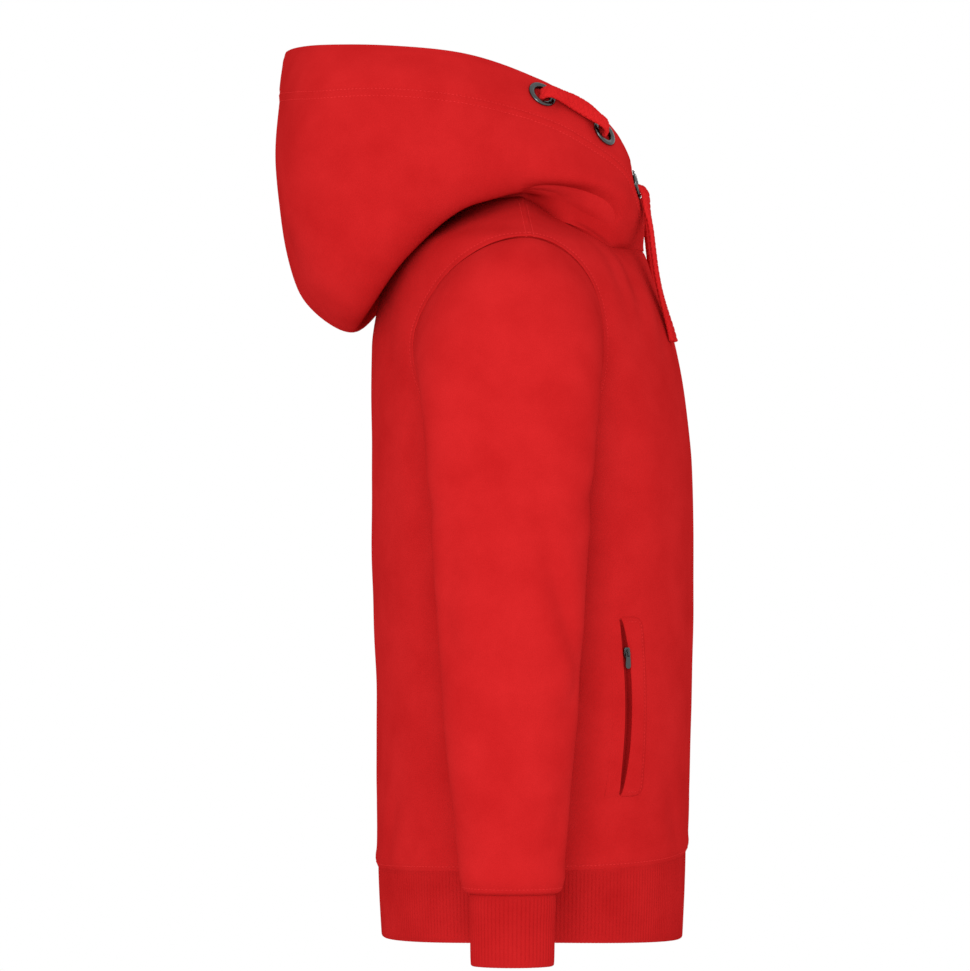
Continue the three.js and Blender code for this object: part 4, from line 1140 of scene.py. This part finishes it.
SLEEVE_CREASES = [
    ([(232, -14, -250), (230, -28, -300), (220, -42, -350)], 2.6, 8),
    ([(216, -48, -330), (222, -40, -362), (232, -22, -384)], 2.0, 8),
    ([(230, 52, -240), (226, 56, -300), (222, 54, -360)], 1.6, 11),
    ([(214, 60, -300), (228, 48, -330), (238, 26, -348)], 1.2, 9),
    ([(188, -50, -210), (206, -50, -226), (224, -38, -236)], 1.8, 9),
    ([(180, 62, -214), (200, 64, -230), (220, 54, -240)], 1.8, 9),
    ([(226, -28, -430), (232, -20, -458), (236, -8, -486)], 1.3, 7),
    ([(212, -28, -448), (216, -26, -470), (222, -22, -492)], 1.0, 6),
    ([(224, 40, -440), (230, 34, -468), (236, 24, -490)], 1.2, 7),
    ([(176, 10, -230), (178, 12, -300), (184, 10, -380)], 1.6, 12),
]


def sleeve_net():
    turn = np.linspace(0, 1, 150, endpoint=False)
    angle, z = armhole_angle(turn)
    hole, out = body_point(angle, z), body_normal(angle, z)
    along = np.roll(hole, -1, 0) - np.roll(hole, 1, 0)
    away = unit(np.cross(along, out))
    away *= np.sign(np.sum(away * (hole.mean(0) - hole), 1))[:, None]
    own = hole - sleeve_oval(0, turn)
    rings = [hole + away * SEAM_GAP]
    for ring in range(1, len(SLEEVE_RINGS["oval"])):
        rings.append(sleeve_oval(ring, turn) + own * (1 - SLEEVE_RINGS["oval"][ring]))
    shares = np.concatenate(
        [[0, 0.003, 0.008, 0.014], np.linspace(0.021, 0.965, 138), np.linspace(0.971, 1, 9)]
    )
    return smooth_rows(np.array(rings), shares), out


def sleeve(name, flip):
    net, seam_out = sleeve_net()
    out = -net_normals(net, True)
    if np.sum(out[len(out) // 2] * (net[len(net) // 2] - net[len(net) // 2].mean(0))) < 0:
        out = -out
    relief = unevenness(net, 23, 0.55)
    relief += seam_relief(nearest_on(net, SEAMS["armhole"])[0], "armhole_sleeve")
    from_cuff = np.abs(net[..., 2] - net[-1, :, 2].mean())
    relief += seam_relief(from_cuff, "cuff")
    for points, depth, width in SLEEVE_CREASES:
        relief += crease(net, points, depth, width)
    relief *= smooth_step((from_cuff + 1) / 4)
    outer = net + out * relief[..., None]
    inner = net + out * (relief * 0.9 - BODY_CLOTH)[..., None]
    inner[0] = outer[0] - seam_out * BODY_CLOTH
    return side_shell(name, flip, outer, inner, grain_of(net, True), True), net


def rib_rows(between):
    """Shares of the way down a rib knit, close together near its seam"""
    return np.concatenate([[0, 0.02, 0.06, 0.12], np.linspace(0.2, 0.9, between), [0.96, 1]])


def rib_relief(shares, ribs, per_rib, depth=0.5):
    """Height of a rib knit round a ring: rounded wales with narrow furrows between, faint at both edges"""
    phase = np.arange(ribs * per_rib) % per_rib / per_rib
    relief = depth * (np.abs(np.sin(math.pi * phase)) ** 0.55 - 0.8)
    return relief * smooth_step(np.minimum(shares * 12 + 0.35, (1.03 - shares) * 12))[:, None]


def rib_reach(relief, thick):
    """How far a rib knit's outer face (0 thick) or inner face stands out"""
    return relief * (1 if thick == 0 else -0.6) - thick


def cuff(name, flip, ribs=60, per_rib=6):
    shares = rib_rows(9)
    z = mix(CUFF_RINGS["z"][0], CUFF_RINGS["z"][-1], shares)
    order = {key: value[::-1] for key, value in CUFF_RINGS.items()}
    size = {key: read_table(order, "z", key, z)[:, None] for key in ("centre_x", "depth", "centre", "width")}
    angle = np.linspace(0, 2 * math.pi, ribs * per_rib, endpoint=False)[None]
    relief = rib_relief(shares, ribs, per_rib)
    tall = np.broadcast_to(z[:, None], relief.shape)

    def ring(thick):
        reach = rib_reach(relief, thick)
        x = size["centre_x"] + np.cos(angle) * (size["depth"] / 2 + reach)
        y = size["centre"] + np.sin(angle) * (size["width"] / 2 + reach)
        return np.stack([x, y, tall], -1)

    outer = ring(0)
    made = side_shell(name, flip, outer, ring(RIB_CLOTH), grain_of(outer, True), True)
    return made, outer


sleeves = {}
for side, flip in SIDES.items():
    tube, band = f"sleeve_{side}_tube", f"cuff_{side}_rib"
    sleeves[side] = cloth_piece(
        tube, sleeve(tube, flip), (FLEECE, BRUSHED), f"sleeve_{side}",
    )
    cloth_piece(band, cuff(band, flip), RIB, f"cuff_{side}")


# Hem rib


def hem_rib(ribs=330, per_rib=5):
    shares = rib_rows(10)
    draw = np.interp(shares, [0, 0.16, 0.5, 1], [0, 0.2, 0.9, 2.4])
    angle = (np.arange(ribs * per_rib) / (ribs * per_rib) * 2 * math.pi - math.pi)[None]
    seam = height_round(HEM_SEAM, angle)
    z = mix(seam - SEAM_GAP / 2, height_round(HEM_EDGE, angle), shares[:, None])
    relief = rib_relief(shares, ribs, per_rib)
    base = body_point(angle, seam)
    way = body_normal(angle, seam)
    way[..., 2] = 0
    way = unit(way)

    def ring(thick):
        reach = rib_reach(relief, thick) - HEM_STEP_IN - draw[:, None]
        net = base + way * reach[..., None]
        net[..., 2] = z
        return net

    outer = ring(0)
    return shell("hem_rib_band", outer, ring(RIB_CLOTH), grain_of(outer, True), closed=True), outer


cloth_piece(
    "hem_rib_band", hem_rib(), RIB, "hem_rib"
)


# Hood halves

HOOD_CREASES = [
    ([(66, -74, -22), (76, -60, -12), (88, -40, -7), (97, -18, -3), (104, 4, -1)], 7.5, 10),
    ([(72, -70, -5), (84, -50, 1), (95, -28, 4), (103, -4, 5)], 3.0, 4.5),
    ([(108, 60, 20), (120, 90, 4), (118, 120, -20)], 2.0, 14),
    ([(70, 168, 50), (92, 160, 20), (104, 140, -20)], 1.8, 16),
    ([(126, 84, 60), (126, 110, 40), (112, 146, 30)], 1.4, 16),
    ([(60, -80, 6), (78, -62, 14), (94, -36, 18)], 1.2, 9),
    ([(40, 176, -10), (60, 166, -34), (72, 150, -60)], 1.6, 12),
]


def casing_height(turn):
    """Height of the turned-in rim, which is deeper on the side of the hood than at its front and back"""
    return CASING_HEIGHT + CASING_DEEPER * np.sin(math.pi * turn**2)


def hood_half(name, flip):
    turns = np.linspace(0, 1, 190)
    spans = [np.linspace(0.16, 4, 66), np.linspace(4.06, 6, 44), np.linspace(6.05, 6.94, 20)]
    lines = np.concatenate([[0, 0.03, 0.08], *spans, [6.98, HOOD_TOP]])
    net = hood_points(turns, lines)
    out = hood_normals(turns, np.maximum(lines, 0.05))
    from_rim = below_rim(net)
    edge = casing_height(turns)
    casing = smooth_step((CASING_HEIGHT + 4 - from_rim) / 8)
    relief = unevenness(net, 37, 0.6) * smooth_step(from_rim / 20)
    relief += 0.9 * smooth_step((edge + 4 - from_rim) / 8) * smooth_step(from_rim / 6)
    for row in (edge, edge - CASING_ROWS):
        relief -= 0.75 * np.exp(-(((from_rim - row) / 1.3) ** 2))
    relief += seam_relief(np.abs(net[..., 0]), "hood_middle") * (turns[None] > 0.5)
    for points, depth, width in HOOD_CREASES:
        relief += crease(net, points, depth, width) * smooth_step((from_rim - edge) / 14)
    for place in EYELETS:
        offset = net - place["centre"]
        high = offset @ place["out"]
        flat = np.linalg.norm(offset - high[..., None] * place["out"], axis=-1)
        near = (np.abs(high) < 12) & (flat < 26)
        well = -EYELET["well"] * smooth_step((9.0 - flat) / 2.2)
        press = -EYELET["press"] * smooth_step((14.5 - flat) / 4)
        relief = np.where(near, mix(relief, 0, smooth_step((20 - flat) / 6)) + press + well, relief)
    outer = net + out * relief[..., None]
    thick = mix(BODY_CLOTH, CASING_CLOTH, casing)
    inner = net + out * (np.maximum(relief, -1.5) * 0.7 - thick)[..., None]
    angle = turns * math.pi
    seam_point, seam_normal = body_point(angle, neck_height(angle)), body_normal(angle, neck_height(angle))
    outer[0] = seam_point - seam_normal * 0.5
    outer[0, :, 2] += SEAM_GAP
    inner[0] = outer[0] - seam_normal * BODY_CLOTH
    for part in (outer, inner):
        part[:, 0, 0] = SEAM_GAP / 2
        part[:, -1, 0] = SEAM_GAP / 2
    return side_shell(name, flip, outer, inner, grain_of(net, False)), net


hoods = {}
for side, flip in SIDES.items():
    half = f"hood_{side}_half"
    hoods[side] = cloth_piece(
        half, hood_half(half, flip), (FLEECE, BRUSHED), f"hood_{side}",
    )


# Zip pockets on the front


def along_opening(z):
    """Place along a pocket's opening: 0 at its middle and 1 at both ends"""
    return (z - POCKET["middle"]) / ((POCKET["top"] - POCKET["bottom"]) / 2)


def opening_depth(z):
    return POCKET["opening"] + POCKET["bow"] * along_opening(z) ** 2


def on_front(y, z):
    """Points of the front's surface on the wearer's left, and the way out of the cloth there"""
    angle = angle_at_depth(y, z)
    return body_point(angle, z), body_normal(angle, z)


def pocket_patch(name, flip, edges, height, columns, rows, short=0.0):
    """A piece that lies on the front between two edges given as depths, as high as a function says"""
    z = np.linspace(POCKET["bottom"] + short, POCKET["top"] - short, rows)
    z = z - 0.6 * np.sin(2 * math.pi * (z - z[0]) / (z[-1] - z[0]))
    share = np.linspace(0, 1, columns)
    start, end = (edge(z)[:, None] for edge in edges)
    tall = np.repeat(z[:, None], columns, 1)
    base, out = on_front(mix(start, end, share[None]), tall)
    across = np.linalg.norm(base - base[:, :1], axis=-1)
    from_end = np.minimum(tall - POCKET["bottom"], POCKET["top"] - tall)
    lift = height(across, across[:, -1:], from_end)
    outer, inner = base + out * lift[..., None], base + out * np.minimum(0.1, lift * 0.3)[..., None]
    return side_shell(name, flip, outer, inner, grain_of(base, False)), base


def welt_edge(z):
    """Outer edge of the welt, with rounded corners"""
    from_end = np.clip(np.minimum(z - POCKET["bottom"], POCKET["top"] - z) / WELT["corner"], 0, 1)
    round_off = 1 - np.sqrt(1 - (1 - from_end) ** 2)
    corner = POCKET["depth_share"] * WELT["corner"] * round_off
    return WELT["edge"] + WELT["edge_bow"] * along_opening(z) ** 2 + corner


def welt_height(across, width, from_end):
    """The welt is folded at the slit and sewn flat along its outer edge and both ends"""
    inside = np.minimum(across, from_end)
    rise = 0.35 + 1.9 * smooth_step(inside / 2.0)
    furrow = 0.9 * np.exp(-(((inside - WELT["row_in"]) / 0.9) ** 2))
    return rise - furrow - 0.7 * smooth_step((across - width + 1.6) / 1.6)


def slit_half(z):
    """Half the width that the slit gapes"""
    return POCKET["depth_share"] * WELT["strip_half"] * (0.12 + 0.88 * (1 - along_opening(z) ** 4))


def lip_height(across, width, from_end):
    """The front's own turned edge behind the slit, highest at the slit"""
    fall = 1 - smooth_step((across - 1.0) / (width - 1.0))
    return 0.05 + 1.7 * fall * smooth_step(across / 1.2 + 0.25) * smooth_step(from_end / 6)


def tape_height(across, width, from_end):
    return 0.35 + 0.25 * np.abs(2 * across / width - 1)


def bevelled_copy(node_name, name, width, body):
    """A metal piece of the part with its edges rounded"""
    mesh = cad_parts[node_name].data.copy()
    mesh.name = name
    mesh.materials.clear()
    work = bmesh.new()
    work.from_mesh(mesh)
    bmesh.ops.remove_doubles(work, verts=work.verts, dist=1e-6)
    bmesh.ops.dissolve_limit(work, angle_limit=math.radians(2), verts=work.verts, edges=work.edges)
    work.to_mesh(mesh)
    work.free()
    rough = in_scene(name + "_rough", mesh)
    bevel = rough.modifiers.new("rounding", "BEVEL")
    bevel.width = width * MM
    bevel.segments = 3
    bevel.limit_method = "ANGLE"
    smooth = finished(rough)
    smooth.polygons.foreach_set("use_smooth", np.ones(len(smooth.polygons), bool))
    smooth.set_sharp_from_angle(angle=math.radians(40))
    return piece(name, smooth, METAL, body=body, nodes=[node_name])


def zip_teeth(name, flip):
    """The closed zip's coil, crossing from one tape to the other"""
    z = np.linspace(POCKET["bottom"] + 6, POCKET["top"] - 6, 400)
    base, out = on_front(opening_depth(z), z)
    row = stitch_row((base + out * 0.7) * flip, out * flip, 1.25)
    # The coil takes the zip tape's dark tone, which is painted shade of the slit
    return sew(name, [row], length=0.72, width=2.2, height=0.8, material=ZIP_TAPE_PAINTED_SHADE)


def beside_slit(way, further):
    """Depth of a line along the slit's edge: way is -1 at the welt and 1 behind, further is away from it"""
    return lambda z: opening_depth(z) + way * (slit_half(z) + further)


def lip_end(z):
    """Where the turned edge behind the slit runs out"""
    return opening_depth(z) + POCKET["depth_share"] * WELT["strip_half"] + LIP_WIDTH


for side, flip in SIDES.items():
    welt, lip, tape = f"pocket_welt_{side}_strip", f"pocket_edge_{side}", f"zip_tape_{side}"
    cloth_piece(
        welt,
        pocket_patch(welt, flip, (welt_edge, beside_slit(-1, WELT["gap"])), welt_height, 22, 110),
        FLEECE, f"pocket_welt_{side}",
    )
    piece(
        lip, pocket_patch(lip, flip, (beside_slit(1, 0.0), lip_end), lip_height, 14, 90)[0],
        FLEECE,
    )
    edges = (beside_slit(-1, TAPE["lap"]), beside_slit(1, TAPE["lap"]))
    # The tape's dark tone is painted shade of the slit it lies in
    piece(
        tape, pocket_patch(tape, flip, edges, tape_height, 7, 60, TAPE["short"])[0], ZIP_TAPE_PAINTED_SHADE,
        nodes=[f"zip_strip_{side}"],
    )
    zip_teeth(f"zip_coil_{side}", flip)
    bevelled_copy(f"zip_slider_{side}", f"zip_slider_{side}_body", 0.3, "garment")
    bevelled_copy(f"zip_pull_{side}", f"zip_pull_{side}_tab", 0.4, f"pull_{side}")


# Rows of stitches


def skin_of(*things):
    """Search tree over the surfaces of some pieces, in millimetres"""
    points, faces = [], []
    for thing in things:
        start = len(points)
        points += [vertex.co / MM for vertex in thing.data.vertices]
        faces += [[start + i for i in face.vertices] for face in thing.data.polygons]
    return BVHTree.FromPolygons(points, faces)


def settled(points, out, skin, reach=8.0):
    """Points moved along their way out until they lie on a skin"""
    found = []
    for point, way in zip(points, out):
        hit = skin.ray_cast(Vector(point + way * reach), Vector(-way), 2 * reach)[0]
        found.append(point if hit is None else np.array(hit))
    return np.array(found)


def body_row(angle, z, skin, flip):
    line, out = body_point(angle, z) * flip, body_normal(angle, z) * flip
    return stitch_row(settled(line, out, skin), out)


def beside(line, out, middle, distance):
    """A line moved in the cloth's own plane, away from a middle point"""
    along = unit(np.gradient(line, axis=0))
    way = unit(np.cross(along, out))
    way *= np.sign(np.sum(way * (line - middle), -1, keepdims=True))
    return line + way * distance


def hood_row(above, skin, flip):
    """Row of stitches round one half of the hood, at a distance above the casing's lower edge"""
    turns = np.linspace(0.004, 0.996, 160)
    lines = np.linspace(3, HOOD_TOP, 200)
    from_rim = below_rim(hood_points(turns, lines))
    wanted = casing_height(turns) - above
    place = [np.interp(wanted[k], from_rim[::-1, k], lines[::-1]) for k in range(len(turns))]
    line, out = (
        np.array([read(turn, at)[0, 0] for turn, at in zip(turns, place)]) * flip
        for read in (hood_points, hood_normals)
    )
    return stitch_row(settled(line, out, skin), out)


body_skin = skin_of(front, back)
for side, flip in SIDES.items():
    hood_skin, sleeve_skin = skin_of(hoods[side]), skin_of(sleeves[side])
    sew(f"casing_stitches_{side}", [hood_row(above, hood_skin, flip) for above in (0, CASING_ROWS)])

    z = mix(ARMHOLE_TOP - 1, -6, np.linspace(0, 1, 120))
    ridge = read_table(BODY_SECTIONS, "z", "centre", z)
    row_at = SEAM_LOOKS["shoulder"]["row_at"]
    sew(
        f"shoulder_stitches_{side}",
        [body_row(angle_at_depth(ridge + away * row_at, z), z, body_skin, flip) for away in (-1, 1)],
    )

    turn = np.linspace(0, 1, 500)
    line, out = body_point(*armhole_angle(turn)), body_normal(*armhole_angle(turn))
    line = beside(line, out, line.mean(0), SEAM_LOOKS["armhole"]["row_at"]) * flip
    sew(f"armhole_stitches_{side}", [stitch_row(settled(line, out * flip, body_skin), out * flip)])

    turn = np.linspace(0, 1, 240)
    cuff_top = SLEEVE_RINGS["out_z"][-1] + SEAM_LOOKS["cuff"]["row_at"]
    middle = np.array([CUFF_RINGS["centre_x"][0], CUFF_RINGS["centre"][0], cuff_top])
    way = np.stack([np.cos(turn * 2 * math.pi), np.sin(turn * 2 * math.pi), 0 * turn], -1)
    line, way = (middle + way * np.array([26, 36, 0])) * flip, way * flip
    sew(f"cuff_seam_stitches_{side}", [stitch_row(settled(line, way, sleeve_skin, 16), way)])

    z = np.linspace(POCKET["bottom"] + 3.4, POCKET["top"] - 3.4, 200)
    welt_skin = skin_of(bpy.data.objects[f"pocket_welt_{side}_strip"])
    inset = WELT["row_in"] * POCKET["depth_share"]
    rows = []
    for y, heights in (
        (welt_edge(z) + inset, z),
        (np.linspace(WELT["edge"] + 8, POCKET["opening"] + 1, 30), np.full(30, z[0])),
        (np.linspace(WELT["edge"] + 8, POCKET["opening"] + 1, 30), np.full(30, z[-1])),
    ):
        base, out = on_front(y, heights)
        rows.append(stitch_row(settled(base * flip, out * flip, welt_skin, 5), out * flip, 2.8))
    sew(f"welt_stitches_{side}", rows, length=2.1, width=0.55, height=0.45)

angle = np.linspace(-math.pi, math.pi, 900)
sew(
    "hem_seam_stitches",
    [body_row(angle, height_round(HEM_SEAM, angle) + SEAM_LOOKS["hem"]["row_at"], body_skin, np.ones(3))],
)
